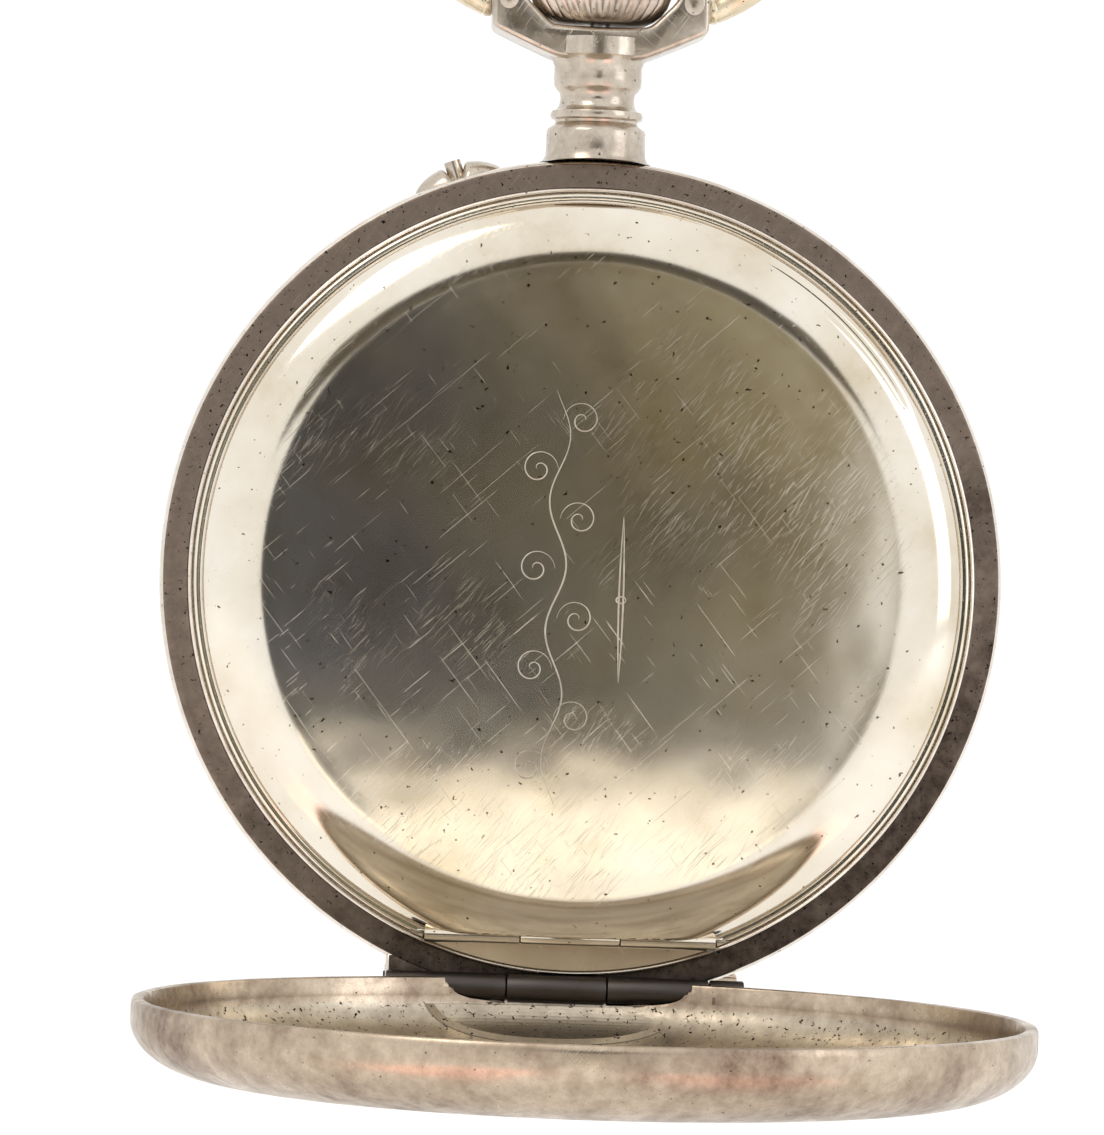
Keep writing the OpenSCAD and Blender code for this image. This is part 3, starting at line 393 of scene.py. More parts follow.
# the inner dust cover: a rolled bead, a round shoulder and a nearly flat polished face; the
# inner values are those of its underside, and the lip is the thumb lip
dust = {"flat": 18.6, "shoulder": 3.9, "foot": 9.05, "lift": 0.5, "rise": 1.75, "crown": 0.2,
        "wall": 0.45, "innerDrop": 0.02, "innerRise": 1.87, "chord": -20.95, "hingeUp": -21.1,
        "hingeDepth": 9.95, "knuckleR": 0.45, "knuckleHalf": 2.95}
lipStep = {"from": 26, "to": 60, "fade": 1.2, "ridge": 22.1, "ridgeHalf": 0.22, "hollow": 21.6,
           "hollowHalf": 0.16, "hollowShare": 1.3, "high": 0.09}


def dustDepth(r, flat, shoulder, foot, rise, crown):
    # depth of the dust cover's surface at a radius: a parabola, then a quarter of an ellipse
    t = np.clip((r - flat) / shoulder, 0, 1)
    return foot + np.where(r < flat, rise + crown * (1 - (r / flat) ** 2), rise * np.sqrt(1 - t ** 2))


def dustCover():
    # the profile goes out over the surface, round the bead and back beneath it, and is turned;
    # the chord makes its straight hinge side, where one small knuckle sits
    d = dust
    outer = np.concatenate([np.linspace(0, d["flat"], 26),
                            d["flat"] + d["shoulder"] * np.sin(np.radians(np.arange(3, 91, 3)))])
    hollow = d["flat"] + (d["shoulder"] - d["wall"]) * np.sin(np.radians(np.arange(87, 0, -6)))
    inner = np.concatenate([hollow, np.linspace(d["flat"], 0, 12)])
    outside = dustDepth(outer, d["flat"], d["shoulder"], d["foot"] + d["lift"], d["rise"], d["crown"])
    inside = dustDepth(inner, d["flat"], d["shoulder"] - d["wall"], d["foot"] - d["innerDrop"],
                       d["innerRise"], d["crown"])
    bead = [(22.62, 9.53), (22.75, 9.58), (22.88, 9.55), (22.97, 9.46), (23.0, 9.33), (23.0, 9.1),
            (22.95, 9.05)]
    profile = [*zip(outer, outside), *bead, *zip(inner, inside)]

    def lip(radius, deep, turn):
        # over a short arc the shoulder's foot stands out in a ridge beside a hollow, each a bell
        # curve of the radius, and fades at both ends
        angle = np.degrees(turn)
        arc = 1 / (1 + np.exp(-(angle - lipStep["from"]) / lipStep["fade"]))
        arc = arc / (1 + np.exp((angle - lipStep["to"]) / lipStep["fade"]))
        ridge = np.exp(-((radius - lipStep["ridge"]) / lipStep["ridgeHalf"]) ** 2)
        hollow = np.exp(-((radius - lipStep["hollow"]) / lipStep["hollowHalf"]) ** 2)
        step = ridge - lipStep["hollowShare"] * hollow
        return radius, deep + np.where(deep > d["foot"] + d["wall"], lipStep["high"] * arc * step, 0)

    body = revolved(profile, case["segments"] * 2, chord=d["chord"], ripple=lip)
    knuckle = rodAcross(d["knuckleR"], -d["knuckleHalf"], d["knuckleHalf"], d["hingeUp"], d["hingeDepth"])
    points, faces = merged(body, knuckle)
    piece = solidFrom("dust_cover_shell", place(points), faces, 40)
    return finish(piece, "dust_cover", mirror, "polished_silver", "cuvette")


# the ornament's stem, its curls and the spindle beside it
ornament = {"stemX": -1.6, "sway": 0.55, "waves": 3.2, "middle": -1.0, "half": 12.2, "line": 0.05,
            "curls": (-11.5, 9.0, 8), "curlR": 1.15, "curlOut": 1.25, "curlUp": 0.5, "curlLine": 0.04,
            "spindleX": 2.25, "spindleHalf": 4.9, "spindleWide": 0.13, "ring": (0.28, 0.2),
            "thick": 0.012, "proud": 0.004}


def engraving():
    # a plain engraved ornament: a scroll of hairlines and a spindle, cut into the polished face
    o = ornament
    t = np.linspace(-1, 1, 160)
    stem = np.stack([o["stemX"] + o["sway"] * np.sin(o["waves"] * np.pi * t),
                     o["middle"] + o["half"] * t], -1)
    lines = [(stem, o["line"])]
    for k, middle in enumerate(np.linspace(*o["curls"])):
        # curls that leave the stem to alternate sides, each a spiral of one and a half turns
        side = 1 if k % 2 else -1
        a = np.linspace(0, 3 * np.pi, 60)
        r = o["curlR"] * (1 - a / (3.4 * np.pi))
        curl = np.stack([o["stemX"] + side * (o["curlOut"] - r * np.cos(a)),
                         middle + r * np.sin(a) + o["curlUp"]], -1)
        lines.append((curl, o["curlLine"]))
    for shift in (-o["spindleWide"], o["spindleWide"]):
        t = np.linspace(-1, 1, 60)
        bulge = np.stack([o["spindleX"] + shift * (1 - t ** 2), o["middle"] + o["spindleHalf"] * t], -1)
        lines.append((bulge, o["line"]))
    a = np.linspace(0, 2 * np.pi, 25)
    ring = np.stack([o["spindleX"] + o["ring"][0] * np.cos(a), o["middle"] + o["ring"][1] * np.sin(a)], -1)
    lines.append((ring, o["line"]))
    shapes = []
    # each line is a six-sided bar laid along its path on the surface, finer towards its ends
    for path, half in lines:
        run = np.gradient(path, axis=0)
        run /= np.linalg.norm(run, axis=1)[:, None] + 1e-9
        across = np.stack([run[:, 1], -run[:, 0]], -1)
        taper = np.sin(np.linspace(0.06, np.pi - 0.06, len(path)))[:, None] ** 0.6 * half
        turn = np.linspace(0, 2 * np.pi, 6, endpoint=False)
        flat = path[:, None, :] + across[:, None, :] * (taper * np.cos(turn))[..., None]
        r = np.hypot(path[:, 0], path[:, 1])[:, None]
        surface = dustDepth(r, dust["flat"], dust["shoulder"], dust["foot"] + dust["lift"],
                            dust["rise"], dust["crown"])
        deep = surface + o["thick"] * np.sin(turn) + o["proud"]
        points = np.concatenate([flat, deep[..., None]], -1)
        faces = gridFaces(len(path), 6, False, True).tolist()
        faces += [list(range(6)), list(range((len(path) - 1) * 6, len(path) * 6))]
        shapes.append((points.reshape(-1, 3), faces))
    points, faces = merged(*shapes)
    piece = solidFrom("engraved_ornament", place(points), faces, 60)
    return finish(piece, "dust_cover", engraved, "tarnished_silver")


# the back cover: a straight rim, a round shoulder and a shallow dome, standing open
lid = {"r": 25.0, "flat": 20.0, "foot": 9.05, "turn": 10.2, "flatDepth": 13.3, "top": 14.0, "wall": 0.5,
       "rimWall": 0.8, "hollowR": 24.15, "chord": -24.6}


def lidDepth(r, edge, turn, flatDepth, top):
    # depth of the cover's surface at a radius: a parabola, then a quarter of an ellipse
    t = np.clip((r - lid["flat"]) / (edge - lid["flat"]), 0, 1)
    return np.where(r < lid["flat"], flatDepth + (top - flatDepth) * (1 - (r / lid["flat"]) ** 2),
                    turn + (flatDepth - turn) * np.sqrt(1 - t ** 2))


def backCover():
    # out over the dome, round the rim and back inside, turned about the middle and swung open
    edge, inner = lid["r"], lid["r"] - lid["rimWall"]
    shoulder = lid["flat"] + (edge - lid["flat"]) * np.sin(np.radians(np.arange(2, 91, 2)))
    hollow = lid["flat"] + (inner - lid["flat"]) * np.sin(np.radians(np.arange(88, 0, -4)))
    outer = np.concatenate([np.linspace(0, lid["flat"], 20), shoulder])
    back = np.concatenate([hollow, np.linspace(lid["flat"], 0, 14)])
    profile = list(zip(outer, lidDepth(outer, edge, lid["turn"], lid["flatDepth"], lid["top"])))
    # the rim, rounded over outside and with a small step inside
    profile += [(25.0, 9.5), (24.98, 9.25), (24.9, 9.1), (24.75, 9.05), (24.45, 9.05), (24.32, 9.1),
                (24.27, 9.2), (24.25, 9.5), (24.2, 9.62)]
    profile += list(zip(back, lidDepth(back, inner, lid["turn"] - 0.2, lid["flatDepth"] - lid["wall"],
                                       lid["top"] - lid["wall"])))

    def notches(radius, deep, turn):
        # the rim is cut back round the case's own knuckles
        x, up = radius * np.sin(turn), radius * np.cos(turn)
        near = np.zeros_like(x, bool)
        for a, b in hinge["caseSpans"]:
            near |= (x > a - hinge["gap"]) & (x < b + hinge["gap"]) & (up < 0)
        room = hinge["back"] + np.sqrt(np.maximum(hinge["groove"] ** 2 - (up - hinge["up"]) ** 2, 0))
        inside = near & (np.abs(up - hinge["up"]) < hinge["groove"]) & (deep < room)
        return radius, np.where(inside, room, deep)

    shell = revolved(profile, 720, chord=lid["chord"], ripple=notches)
    knuckles = knuckleRow(hinge["coverSpans"], hinge["up"], hinge["back"], hinge["r"])
    x0, x1 = hinge["coverSpans"][1]
    web = webBlock(x0 + 0.1, x1 - 0.1, *hinge["webUp"], hinge["back"] + 0.05, hinge["back"] + 0.6)
    points, faces = merged(shell, knuckles, web)
    piece = solidFrom("back_cover_shell", place(openedCover(points)), faces, 40)
    finish(piece, "back_cover", coverOutside, "case_silver", "back_cover", extra=(coverInside, darkSteel))
    hingeUp, hingeDepth = hinge["up"], hinge["back"]

    def hollowFace(x, up, depth):
        # inside the open cover: above its outer surface by more than half the wall
        closedDepth = hingeDepth - (up - hingeUp)
        closedUp = hingeUp + (depth - hingeDepth)
        r = np.hypot(x, closedUp)
        surface = lidDepth(r, edge, lid["turn"], lid["flatDepth"], lid["top"])
        return (closedDepth < surface - lid["wall"] / 2) & (r < lid["hollowR"])

    paintBy(piece, 1, hollowFace)
    paintBy(piece, 2, lambda x, up, depth: np.hypot(up - hingeUp, depth - hingeDepth) < hinge["darkR"])
    return piece


def webBlock(x0, x1, up0, up1, deep0, deep1, cut=0.08):
    # a small block with its long edges cut back, as an eight-sided section carried along x
    section = [(up0 + cut, deep0), (up1 - cut, deep0), (up1, deep0 + cut), (up1, deep1 - cut),
               (up1 - cut, deep1), (up0 + cut, deep1), (up0, deep1 - cut), (up0, deep0 + cut)]
    up, deep = (np.array(column) for column in zip(*section))
    along = np.array([x0, x0, x0 + cut, x1 - cut, x1, x1])[:, None]
    shrink = np.array([0, 0.9, 1, 1, 0.9, 0])[:, None]
    points = np.stack([along + 0 * up, up.mean() + (up - up.mean()) * shrink,
                       deep.mean() + (deep - deep.mean()) * shrink], -1)
    return points.reshape(-1, 3), gridFaces(6, 8, False, True)


def caseBand():
    # the band: a rounded outside, the flat dark rebate and the bright rim round the dust cover,
    # turned as one profile, with the case's hinge knuckles on their webs
    c = case
    profile = [(c["bore"], c["front"]), (24.45, c["front"]), (24.68, 3.66), (24.82, 3.85), (24.92, 4.2),
               (25, 4.7), (25, 8.15), (24.95, 8.6), (24.86, 8.86), (24.76, 8.97), (24.66, 9.0),
               (24.3, 8.98), (23.5, 8.98), (23.36, 9.0), (23.31, 9.06), (23.3, 9.2), (23.29, 9.5),
               (23.25, 9.57), (23.17, 9.6), (23.1, 9.57), (23.06, 9.5), (23.05, 9.3), (23.05, 9.0),
               (c["bore"], 9.0)]

    def groove(radius, deep, turn):
        # the rebate's floor gives way round the cover's knuckles
        x, up = radius * np.sin(turn), radius * np.cos(turn)
        for axis, sign in ((hinge["back"], -1), (hinge["front"], 1)):
            near = np.zeros_like(x, bool)
            for a, b in hinge["coverSpans"]:
                near |= (x > a - hinge["gap"]) & (x < b + hinge["gap"]) & (up < 0)
            room = axis + sign * np.sqrt(np.maximum(hinge["groove"] ** 2 - (up - hinge["up"]) ** 2, 0))
            inside = near & (np.abs(up - hinge["up"]) < hinge["groove"]) & ((deep - room) * sign < 0)
            deep = np.where(inside, room, deep)
        return radius, deep

    ring = revolved(profile, 720, ripple=groove)
    shapes = [ring]
    for axis, deep0, deep1 in ((hinge["back"], 7.5, 8.97), (hinge["front"], 3.63, 5.1)):
        for span in hinge["caseSpans"]:
            shapes.append(rodAcross(hinge["r"], span[0], span[1], hinge["up"], axis))
        for a, b in hinge["caseSpans"]:
            shapes.append(webBlock(a + 0.02, b - 0.02, *hinge["caseWebUp"], deep0, deep1, 0.15))
    points, faces = merged(*shapes)
    piece = solidFrom("case_band", place(points), faces, 40)
    finish(piece, "case", wornSilver, "tarnished_silver", "case_middle", extra=(tarnishAndShadeSilver, darkSteel))
    # the rebate's faces take the tarnish with its painted shade, darker to the right and downwards
    inner, outer, above = c["rebate"]
    paintBy(piece, 1, lambda x, up, depth: (np.hypot(x, up) > inner) & (np.hypot(x, up) < outer)
            & (depth > above))
    for axis in (hinge["back"], hinge["front"]):
        paintBy(piece, 2, lambda x, up, depth: np.hypot(up - hinge["up"], depth - axis) < hinge["darkR"])
    return piece


def bezelAndCrystal():
    # the bezel is a turned ring with rounded corners, and the crystal a flat disc with a bevel
    profile = smoothed([(20.3, 1.0), (21.2, 1.0), (21.2, 0.45), (21.9, 0.45), (23.2, 0.72), (24.2, 1.5),
                        (24.8, 2.4), (25, 3.55), (21.9, 3.55), (21.9, 1.5), (20.3, 1.5)], 2)
    shapes = [revolved(profile, 480, chord=lid["chord"], ripple=bezelNotches),
              knuckleRow(hinge["coverSpans"], hinge["up"], hinge["front"], hinge["r"])]
    x0, x1 = hinge["coverSpans"][1]
    shapes.append(webBlock(x0 + 0.1, x1 - 0.1, *hinge["webUp"], hinge["front"] - 0.6,
                           hinge["front"] + 0.05))
    points, faces = merged(*shapes)
    ring = solidFrom("bezel_ring", place(points), faces, 40)
    finish(ring, "bezel", wornSilver, "case_silver", "front_bezel")
    edge = 21.18
    pane = revolved([(0, 0), (19.9, 0), (20.0, 0.01), (20.8, 0.27), (21.12, 0.55), (edge, 0.65),
                     (edge, 0.98), (0, 0.98)], 360)
    piece = solidFrom("watch_glass", place(pane[0]), pane[1], 20)
    finish(piece, "bezel", glass, "crystal", "crystal")


def bezelNotches(radius, deep, turn):
    # the bezel is cut back round the case's own knuckles
    x, up = radius * np.sin(turn), radius * np.cos(turn)
    near = np.zeros_like(x, bool)
    for a, b in hinge["caseSpans"]:
        near |= (x > a - hinge["gap"]) & (x < b + hinge["gap"]) & (up < 0)
    room = hinge["front"] - np.sqrt(np.maximum(hinge["groove"] ** 2 - (up - hinge["up"]) ** 2, 0))
    inside = near & (np.abs(up - hinge["up"]) < hinge["groove"]) & (deep > room)
    return radius, np.where(inside, room, deep)


# the pendant: a turned neck, and the yoke that holds crown and bow
neck = {"profile": [(0.95, 24.6), (3.35, 24.85), (3.12, 25.0), (2.98, 25.3), (2.95, 25.7), (2.95, 26.7),
                    (2.88, 26.9), (2.55, 27.12), (2.42, 27.28), (2.48, 27.42), (2.7, 27.52), (2.76, 27.72),
                    (2.7, 27.94), (2.42, 28.05), (2.26, 28.3), (2.2, 28.7), (2.24, 29.05), (2.45, 29.25),
                    (2.58, 29.5), (2.62, 29.9), (2.6, 30.6), (2.75, 31.0), (3.0, 31.25), (3.0, 32.3),
                    (0.95, 32.3)]}


def pendantNeck():
    # the profile of (radius, height) turned about the stem's axis
    turn = np.linspace(0, 2 * np.pi, 128, endpoint=False)[:, None]
    r, z = (np.array(column) for column in zip(*neck["profile"]))
    points = np.stack([r * np.sin(turn), z + 0 * turn, stemDepth + r * np.cos(turn)], -1)
    # the foot follows the band's round outside
    foot = np.sqrt(np.maximum(25.02 ** 2 - points[..., 0] ** 2, 0))
    points[..., 1] = np.maximum(points[..., 1], foot)
    piece = solidFrom("pendant_neck", place(points.reshape(-1, 3)), gridFaces(128, len(r), True, True), 40)
    return finish(piece, "case", neckSilver, "case_silver", "pendant")


def bevelledPlate(outline, half, bevel, middle):
    # an outline in the (x, up) plane made solid to both sides of a middle depth; near its faces
    # each corner moves in along the mean of its two edge normals, which rounds the edges
    p = np.asarray(outline, float)
    ahead, behind = np.roll(p, -1, 0) - p, p - np.roll(p, 1, 0)
    normals = [np.stack([e[:, 1], -e[:, 0]], -1) / np.linalg.norm(e, axis=1)[:, None]
               for e in (ahead, behind)]
    mean = normals[0] + normals[1]
    mean /= np.linalg.norm(mean, axis=1)[:, None]
    a = np.radians([0, 22, 45, 68, 90])
    inset = np.concatenate([bevel * (1 - np.sin(a)), bevel * (1 - np.sin(a[::-1]))])
    depth = np.concatenate([-half + bevel * (1 - np.cos(a)), half - bevel * (1 - np.cos(a[::-1]))])
    layers = [np.column_stack([p - mean * s, np.full(len(p), middle + d)]) for s, d in zip(inset, depth)]
    count = len(p)
    faces = gridFaces(len(layers), count, False, True).tolist()
    faces += [list(range(count)), list(range((len(layers) - 1) * count, len(layers) * count))]
    return np.concatenate(layers), faces


# the fork that holds the crown and the bow: flat faces, a slanted outside and a straight seat
fork = {"half": 2.2, "bevel": 0.28, "bossWide": 0.85, "bossTall": 1.05, "bossProud": 0.35,
        "bossSunk": 0.25, "bossAt": (5.5, 34.5), "outline": [
            (0, 30.95), (2.3, 30.95), (3.0, 31.2), (4.2, 31.72), (5.4, 32.25), (6.2, 32.62), (6.4, 32.85),
            (6.43, 33.3), (6.43, 35.0), (6.3, 35.6), (5.9, 36.0), (5.4, 36.15), (4.95, 36.05),
            (4.75, 35.7), (4.7, 35.0), (4.4, 34.45), (3.7, 33.75), (3.05, 33.1), (2.6, 32.92), (0, 32.88)]}


def yoke():
    # the half outline and its mirror image, rounded once and made into a bevelled plate
    right = np.array(fork["outline"])
    left = right[1:-1][::-1] * np.array([-1, 1])
    outline = smoothed(np.concatenate([right, left]), 1)
    shapes = [bevelledPlate(outline, fork["half"], fork["bevel"], stemDepth)]
    out, bossUp = fork["bossAt"]
    a = np.linspace(0, np.pi / 2, 9)
    turn = np.linspace(0, 2 * np.pi, 28, endpoint=False)[:, None]
    for side in (-1, 1):
        # a small oval boss on each face of each arm, where the bow's pin was let in
        for face in (-1, 1):
            centre = np.array([side * out, bossUp, stemDepth + face * (fork["half"] - fork["bossSunk"])])
            boss = centre + np.stack([fork["bossWide"] * np.sin(a) * np.cos(turn),
                                      fork["bossTall"] * np.sin(a) * np.sin(turn),
                                      face * fork["bossProud"] * np.cos(a) + 0 * turn], -1)
            shapes.append((boss.reshape(-1, 3), gridFaces(28, 9, True, False)))
    points, faces = merged(*shapes)
    piece = solidFrom("pendant_yoke", place(points), faces, 40)
    return finish(piece, "case", neckSilver, "case_silver", "pendant", "bow_screws")


# the bow: an oval of round wire, thinner where it meets its eyes
bow = {"halfWidth": 11.7, "halfHeight": 9.9, "middle": 42.2, "wire": 2.4, "eye": 6.75, "thinnest": 0.55,
       "eyeR": 0.75, "eyeFrom": 6.47, "eyeTo": 7.0}


def bowRing():
    # an arc of an ellipse from eye to eye; the wire's thickness rises from the eyes as a sine
    low = math.pi / 2 + math.acos(min(1, bow["eye"] / bow["halfWidth"]))
    a = np.linspace(-low, low, 200)
    path = np.stack([bow["halfWidth"] * np.sin(a), bow["middle"] + bow["halfHeight"] * np.cos(a)], -1)
    near = np.clip((low - np.abs(a)) / 0.5, 0, 1)
    wire = bow["wire"] * (bow["thinnest"] + (1 - bow["thinnest"]) * np.sin(near * np.pi / 2))
    shapes = [swept(path, wire, wire, 2.0, 1, 40)]
    for side in (-1, 1):
        x0, x1 = sorted((side * bow["eyeFrom"], side * bow["eyeTo"]))
        shapes.append(rodAcross(bow["eyeR"], x0, x1, bowPivotUp, stemDepth, 0.15))
    points, faces = merged(*shapes)
    piece = solidFrom("bow_ring", place(points), faces, 50)
    return finish(piece, "bow", bowSilver, "case_silver", "bow")


# the crown: an onion shape with rounded flutes round its widest part
knob = {"up": 33.1, "flutes": 30, "depth": 0.27, "profile": [
    (0.6, 0.0), (2.2, 0.0), (2.75, 0.1), (3.2, 0.32), (3.65, 0.68), (4.0, 1.15), (4.2, 1.7), (4.29, 2.3),
    (4.3, 2.9), (4.26, 3.5), (4.12, 4.2), (3.85, 4.9), (3.45, 5.5), (2.9, 6.05), (2.2, 6.5), (1.4, 6.85),
    (0.7, 7.02), (0.0, 7.08)]}


def crownKnob():
    # the profile of (radius, height) turned about the stem's axis, less the depth of the flutes
    count = knob["flutes"] * 16
    turn = np.linspace(0, 2 * np.pi, count, endpoint=False)[:, None]
    r, z = (np.array(column) for column in zip(*knob["profile"]))
    tone = np.interp(z, [0.2, 0.7, 4.6, 5.6], [0, 1, 1, 0]) * (r > 2.4)
    # between rounded ridges each flute is a narrow hollow
    wave = np.abs(np.sin(turn * knob["flutes"] / 2)) ** 0.8
    radius = r - knob["depth"] * tone * (1 - wave)
    points = np.stack([radius * np.sin(turn), knob["up"] + z + 0 * turn,
                       stemDepth + radius * np.cos(turn)], -1)
    hole = np.array([[0.6, 2.0], [0.0, 2.0]])
    inner = np.stack([hole[:, 0] * np.sin(turn), knob["up"] + hole[:, 1] + 0 * turn,
                      stemDepth + hole[:, 0] * np.cos(turn)], -1)
    points = np.concatenate([inner[:, ::-1], points], 1)
    faces = gridFaces(count, points.shape[1], True, False)
    piece = solidFrom("crown_knob", place(points.reshape(-1, 3)), faces, 50)
    return finish(piece, "winder", crownSilver, "case_silver", "crown")


# the push pin's guard: an olive on the band with two humps and a notch between them
guard = {"angle": 19.0, "half": 2.75, "height": 1.2, "width": 1.5, "sunk": 24.75, "notch": 0.72,
         "notchHalf": 0.2, "bend": 0.04}


def pushGuard():
    # half an ellipse along its length and across it, bent round the band, less a bell-shaped
    # notch in the middle
    u = np.linspace(-1, 1, 70)
    hump = np.sqrt(np.clip(1 - u ** 2, 0, 1))
    notch = 1 - guard["notch"] * np.exp(-(u / guard["notchHalf"]) ** 4)
    turn = np.linspace(0, 2 * np.pi, 40, endpoint=False)[None, :]
    high = (guard["height"] * hump * notch)[:, None]
    wide = (guard["width"] * hump ** 0.8)[:, None]
    along = (guard["half"] * u)[:, None] + 0 * turn
    out = guard["sunk"] + high * np.cos(turn) - guard["bend"] * along ** 2 / 2
    side = stemDepth + wide * np.sin(turn)
    a = math.radians(guard["angle"])
    points = np.stack([-out * math.sin(a) + along * math.cos(a),
                       out * math.cos(a) + along * math.sin(a), side], -1)
    piece = solidFrom("push_pin_guard", place(points.reshape(-1, 3)), gridFaces(70, 40, False, True), 60)
    return finish(piece, "case", neckSilver, "case_silver", "push_guard")


# the dial's print: Roman hours, a minute track and the small ring of seconds, all in flat bars
dialPrint = {"front": 3.085, "back": 3.12, "hours": 14.9, "tall": 3.3, "track": 19.2, "small": 4.3,
             "smallUp": -9.8}
strokesOf = {"I": [(0, 0, 0, 1, 0.3)], "V": [(-0.42, 1, 0, 0, 0.3), (0.42, 1, 0, 0, 0.14)],
             "X": [(-0.42, 1, 0.42, 0, 0.3), (0.42, 1, -0.42, 0, 0.14)]}
widthOf = {"I": 0.55, "V": 1.15, "X": 1.2}
hourNames = ["XII", "I", "II", "III", "IIII", "V", "VI", "VII", "VIII", "IX", "X", "XI"]


def turnedBy(strokes, angle, out, scale, middleUp=0.0):
    # strokes drawn upright, set at a distance from the middle and turned clockwise seen from
    # the front, where x runs the other way
    s = np.asarray(strokes, float)
    a = math.radians(angle)
    ends = s[:, :4].reshape(-1, 2, 2) * scale + np.array([0, out])
    x = ends[..., 0] * math.cos(a) + ends[..., 1] * math.sin(a)
    up = -ends[..., 0] * math.sin(a) + ends[..., 1] * math.cos(a) + middleUp
    return np.concatenate([np.stack([-x, up], -1).reshape(-1, 4), s[:, 4:]], 1)


def barsOf(strokes):
    # each stroke as a thin flat box lying on the dial
    s = np.asarray(strokes, float)
    a, b = s[:, :2], s[:, 2:4]
    run = (b - a) / np.linalg.norm(b - a, axis=1)[:, None]
    side = np.stack([-run[:, 1], run[:, 0]], -1) * s[:, 4:5] / 2
    corners = np.stack([a + side, b + side, b - side, a - side], 1)
    layers = [np.concatenate([corners, np.full(corners.shape[:2] + (1,), dialPrint[key])], -1)
              for key in ("front", "back")]
    points = np.concatenate(layers, 1)
    faces = np.array([(0, 1, 2, 3), (7, 6, 5, 4), (0, 4, 5, 1), (1, 5, 6, 2), (2, 6, 7, 3), (3, 7, 4, 0)])
    return points.reshape(-1, 3), (faces[None] + 8 * np.arange(len(s))[:, None, None]).reshape(-1, 4)


def printOnDial():
    # twelve numerals and sixty ticks as turned strokes, and three thin turned rings
    d = dialPrint
    strokes = []
    for hour, name in enumerate(hourNames):
        widths = [widthOf[letter] for letter in name]
        middles = np.cumsum(widths) - np.array(widths) / 2 - sum(widths) / 2
        letters = [(x0 + m, y0, x1 + m, y1, w) for letter, m in zip(name, middles)
                   for x0, y0, x1, y1, w in strokesOf[letter]]
        strokes.append(turnedBy(letters, hour * 30, d["hours"], np.array([1.15, d["tall"]])))
    for tick in range(60):
        minute = (0, 0, 0, 0.9, 0.3 if tick % 5 == 0 else 0.1)
        second = (0, 0, 0, 0.5, 0.14 if tick % 5 == 0 else 0.05)
        strokes.append(turnedBy([minute], tick * 6, d["track"], 1))
        strokes.append(turnedBy([second], tick * 6, d["small"] - 0.5, 1, d["smallUp"]))
    shapes = [barsOf(np.concatenate(strokes))]
    for out, middle in ((d["track"], 0), (d["track"] + 0.9, 0), (d["small"], d["smallUp"])):
        points, faces = revolved([(out - 0.05, d["front"]), (out + 0.05, d["front"]),
                                  (out + 0.05, d["back"]), (out - 0.05, d["back"])], 180)
        shapes.append((points + np.array([0, middle, 0]), faces))
    points, faces = merged(*shapes)
    piece = solidFrom("dial_print", place(points), faces, 20)
    return finish(piece, "case", blackPaint, "dial_enamel")


for build in (caseBand, dustCover, engraving, backCover, bezelAndCrystal, pendantNeck, yoke, bowRing,
              crownKnob, pushGuard, printOnDial):
    build()
print("stage 3: pieces built")

# the frame's own nodes that stay on show, by finish
keptFinishes = {
    coverInside: ["cover_lug_plate"],
    neckSilver: ["push_pin"],
    darkSteel: ["back_hinge_pin", "cuvette_hinge_pin", "bezel_hinge_pin"],
    mirror: ["cuvette_sill"],
    plainSteel: ["winding_stem", "winding_pinion", "sliding_pinion", "setting_yoke", "yoke_spring",
                 "click", "click_spring", "ratchet_wheel", "ratchet_screw", "crown_wheel",
                 "crown_wheel_screw", "barrel_arbor", "escape_wheel", "pallet_fork", "regulator",
                 "cannon_pinion", "balance_staff"],
    gilt: ["mainplate", "barrel_bridge", "train_bridge", "balance_cock", "pallet_bridge", "barrel_drum",
           "barrel_cover", "centre_wheel", "third_wheel", "fourth_wheel", "minute_wheel", "hour_wheel",
           "balance_wheel"],
    blued: ["bridge_screws", "case_screws", "hairspring", "mainspring", "hour_hand", "minute_hand",
            "seconds_hand"],
    enamel: ["dial"],
    ruby: ["jewels", "pallet_stones"]}
for material, names in keptFinishes.items():
    for name in names:
        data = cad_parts[name].data
        data.materials.clear()
        data.materials.append(material)


# ---- studio ----
def areaLight(name, spot, aim, size, power, colour="#ffffff"):
    light = bpy.data.lights.new(name, "AREA")
    light.shape = "RECTANGLE"
    light.size, light.size_y = size
    light.energy = power
    light.color = linearFromHex(colour)[:3]
    lamp = bpy.data.objects.new(name, light)
    lamp.location = spot
    lamp.rotation_euler = (Vector(aim) - Vector(spot)).to_track_quat("-Z", "Y").to_euler()
    bpy.context.scene.collection.objects.link(lamp)
    lamp.visible_camera = False
    return lamp


def flatCard(name, x, z, y, material):
    # an upright card seen only in reflections
    mesh = bpy.data.meshes.new(name)
    corners = [(x[0], y, z[0]), (x[1], y, z[0]), (x[1], y, z[1]), (x[0], y, z[1])]
    mesh.from_pydata(corners, [], [(0, 1, 2, 3)])
    mesh.materials.append(material)
    card = bpy.data.objects.new(name, mesh)
    bpy.context.scene.collection.objects.link(card)
    card.visible_camera = card.visible_diffuse = card.visible_shadow = card.visible_transmission = False
    return card


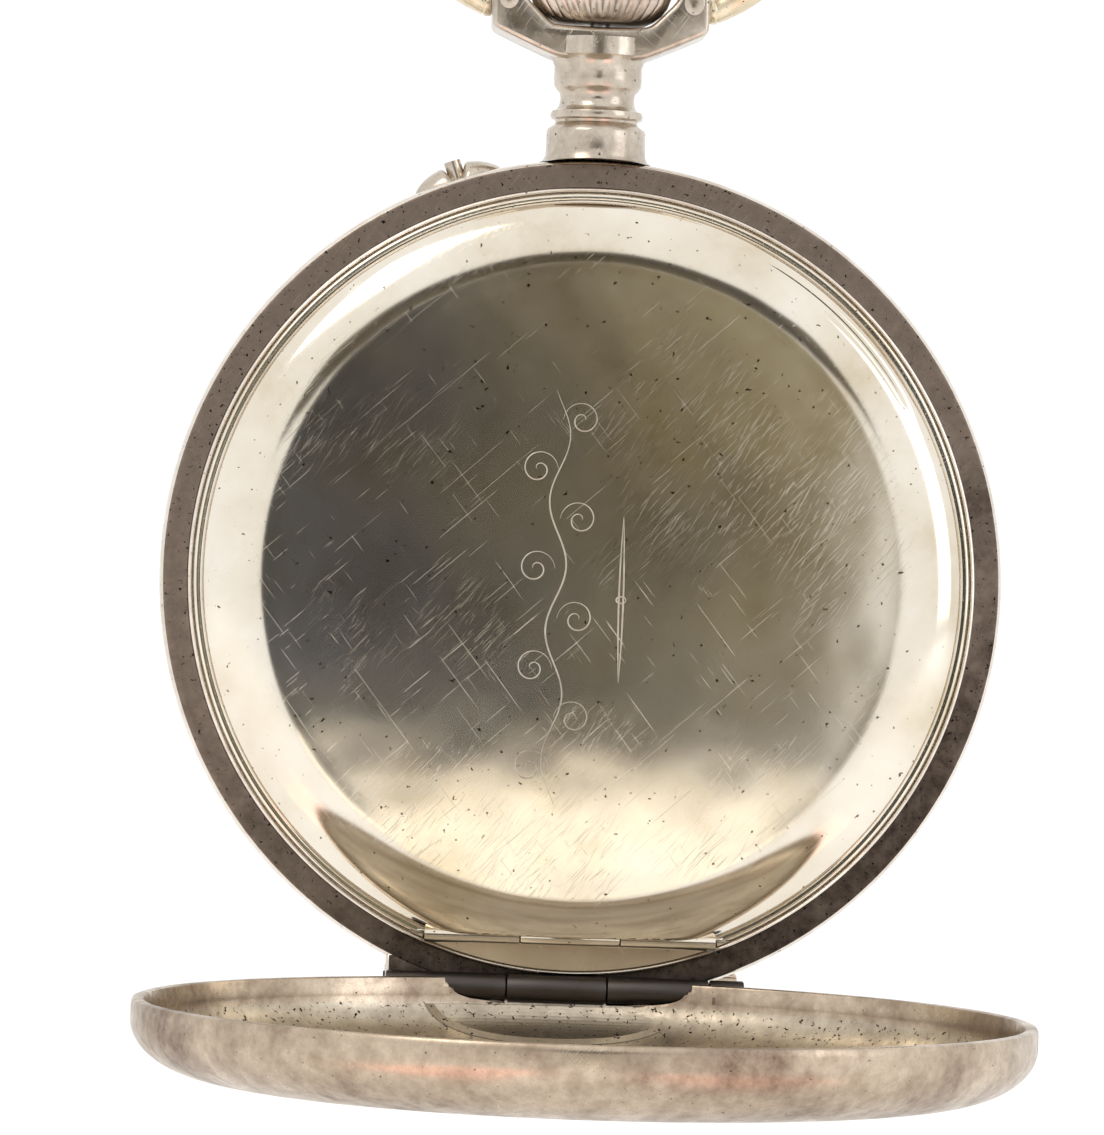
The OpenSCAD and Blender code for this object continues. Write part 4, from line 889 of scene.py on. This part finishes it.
def glowMaterial(name, stops, size, strength=1.0, lean=(0.0, 0.0)):
    # a reflection card's tone: soft patches from dark to light, brighter towards one corner; the
    # lean is how much the tone rises for each metre to the right and upwards
    material, tree, shader = newMaterial(name, Roughness=1.0, Base_Color=(0, 0, 0, 1),
                                         Emission_Strength=strength)
    space = addNode(tree, "TexCoord", out="Object")
    slope = addNode(tree, "VectorMath", {0: space, 1: (lean[0], 0, lean[1])}, out=1,
                    operation="DOT_PRODUCT")
    noise = addNode(tree, "TexNoise", {"Vector": space, "Scale": 1 / (size * mm), "Detail": 2.0,
                                       "Roughness": 0.6})
    total = addNode(tree, "Math", {0: noise, 1: slope}, operation="ADD")
    feed(tree, shader, Emission_Color=addNode(tree, "ValToRGB", {"Fac": total}, stops))
    return material


world = bpy.data.worlds.new("whiteStudio")
world.use_nodes = True
world.node_tree.nodes["Background"].inputs["Color"].default_value = linearFromHex("#ffffff")
world.node_tree.nodes["Background"].inputs["Strength"].default_value = 1.08
bpy.context.scene.world = world
bpy.context.scene.view_settings.view_transform = "Standard"
bpy.context.scene.view_settings.look = "None"

floorMesh = bpy.data.meshes.new("floor")
reach, floorUp = 4.0, -0.075
floorMesh.from_pydata([(-reach, -reach, floorUp), (reach, -reach, floorUp), (reach, reach, floorUp),
                       (-reach, reach, floorUp)], [], [(0, 1, 2, 3)])
# plain white paper, matt
floorMaterial = newMaterial("paleFloor", Roughness=0.9, Base_Color=linearFromHex("#ffffff"))[0]
floorMesh.materials.append(floorMaterial)
floor = bpy.data.objects.new("floor", floorMesh)
bpy.context.scene.collection.objects.link(floor)

# each lamp's place and aim in metres, its width and height, its power and its colour
areaLight("keyLight", (-0.35, -0.45, 0.55), (0, 0, 0), (0.35, 0.35), 1.0, "#fff8f0")
areaLight("fillLight", (0.55, -0.35, 0.2), (0, 0, 0), (0.3, 0.5), 0.6, "#f4f6ff")
areaLight("lowLight", (0.0, -0.35, -0.4), (0, 0, -0.01), (0.4, 0.1), 0.15, "#fff2e2")
for side in (-1, 1):
    # a coppery thing lying in front on each side, seen in the shoulder and under the cover
    x, y = side * 0.055, -0.13
    glow = areaLight("copperCard", (x, y, -0.068), (x, y, 0.0), (0.06, 0.1), 0.018, "#dd7450")
    glow.visible_diffuse = False
# the cards stand in a row behind the camera; each has its tone, then its x and z limits
backTone = glowMaterial("roomBehindCamera", [(0.15, "#10141d"), (0.42, "#35363a"), (0.62, "#57534a"),
                                             (0.9, "#958b6c")], 30.0, lean=(4.0, 2.5))
roomTone = glowMaterial("roomAbove", [(0.3, "#2b2620"), (0.7, "#6f6658")], 60.0)
bandTone = glowMaterial("brightTableEdge", [(0.3, "#fffaf0"), (0.7, "#fff2dc")], 45.0, 1.9)
tableTone = glowMaterial("tableTop", [(0.3, "#beb6a0"), (0.7, "#989079")], 30.0)
cards = {"roomBehindCamera": (backTone, (-0.075, 0.092), (-0.05, 0.075)),
         "roomAbove": (roomTone, (-0.17, 0.17), (0.078, 0.17)),
         "brightTableEdge": (bandTone, (-0.065, 0.08), (-0.072, -0.05)),
         "tableTop": (tableTone, (-0.07, 0.085), (-0.3, -0.072))}
cardRow = -0.6
for name, (tone, x, z) in cards.items():
    flatCard(name, x, z, cardRow, tone)

# a long lens a little to the left, looking at a point just off the case's middle; places in mm
view = {"focal": 193.5, "sensor": 36.0, "from": (-14.4, -370, 0.8), "at": (-1.79, -9, 0.78), "roll": 2.0}
lens = bpy.data.cameras.new("camera")
lens.lens, lens.sensor_width = view["focal"], view["sensor"]
camera = bpy.data.objects.new("camera", lens)
camera.location = Vector(view["from"]) * mm
facing = (Vector(view["at"]) * mm - camera.location).to_track_quat("-Z", "Y")
camera.rotation_euler = (facing @ Quaternion((0, 0, 1), math.radians(view["roll"]))).to_euler()
bpy.context.scene.collection.objects.link(camera)
bpy.context.scene.camera = camera
print("stage 4: studio ready")
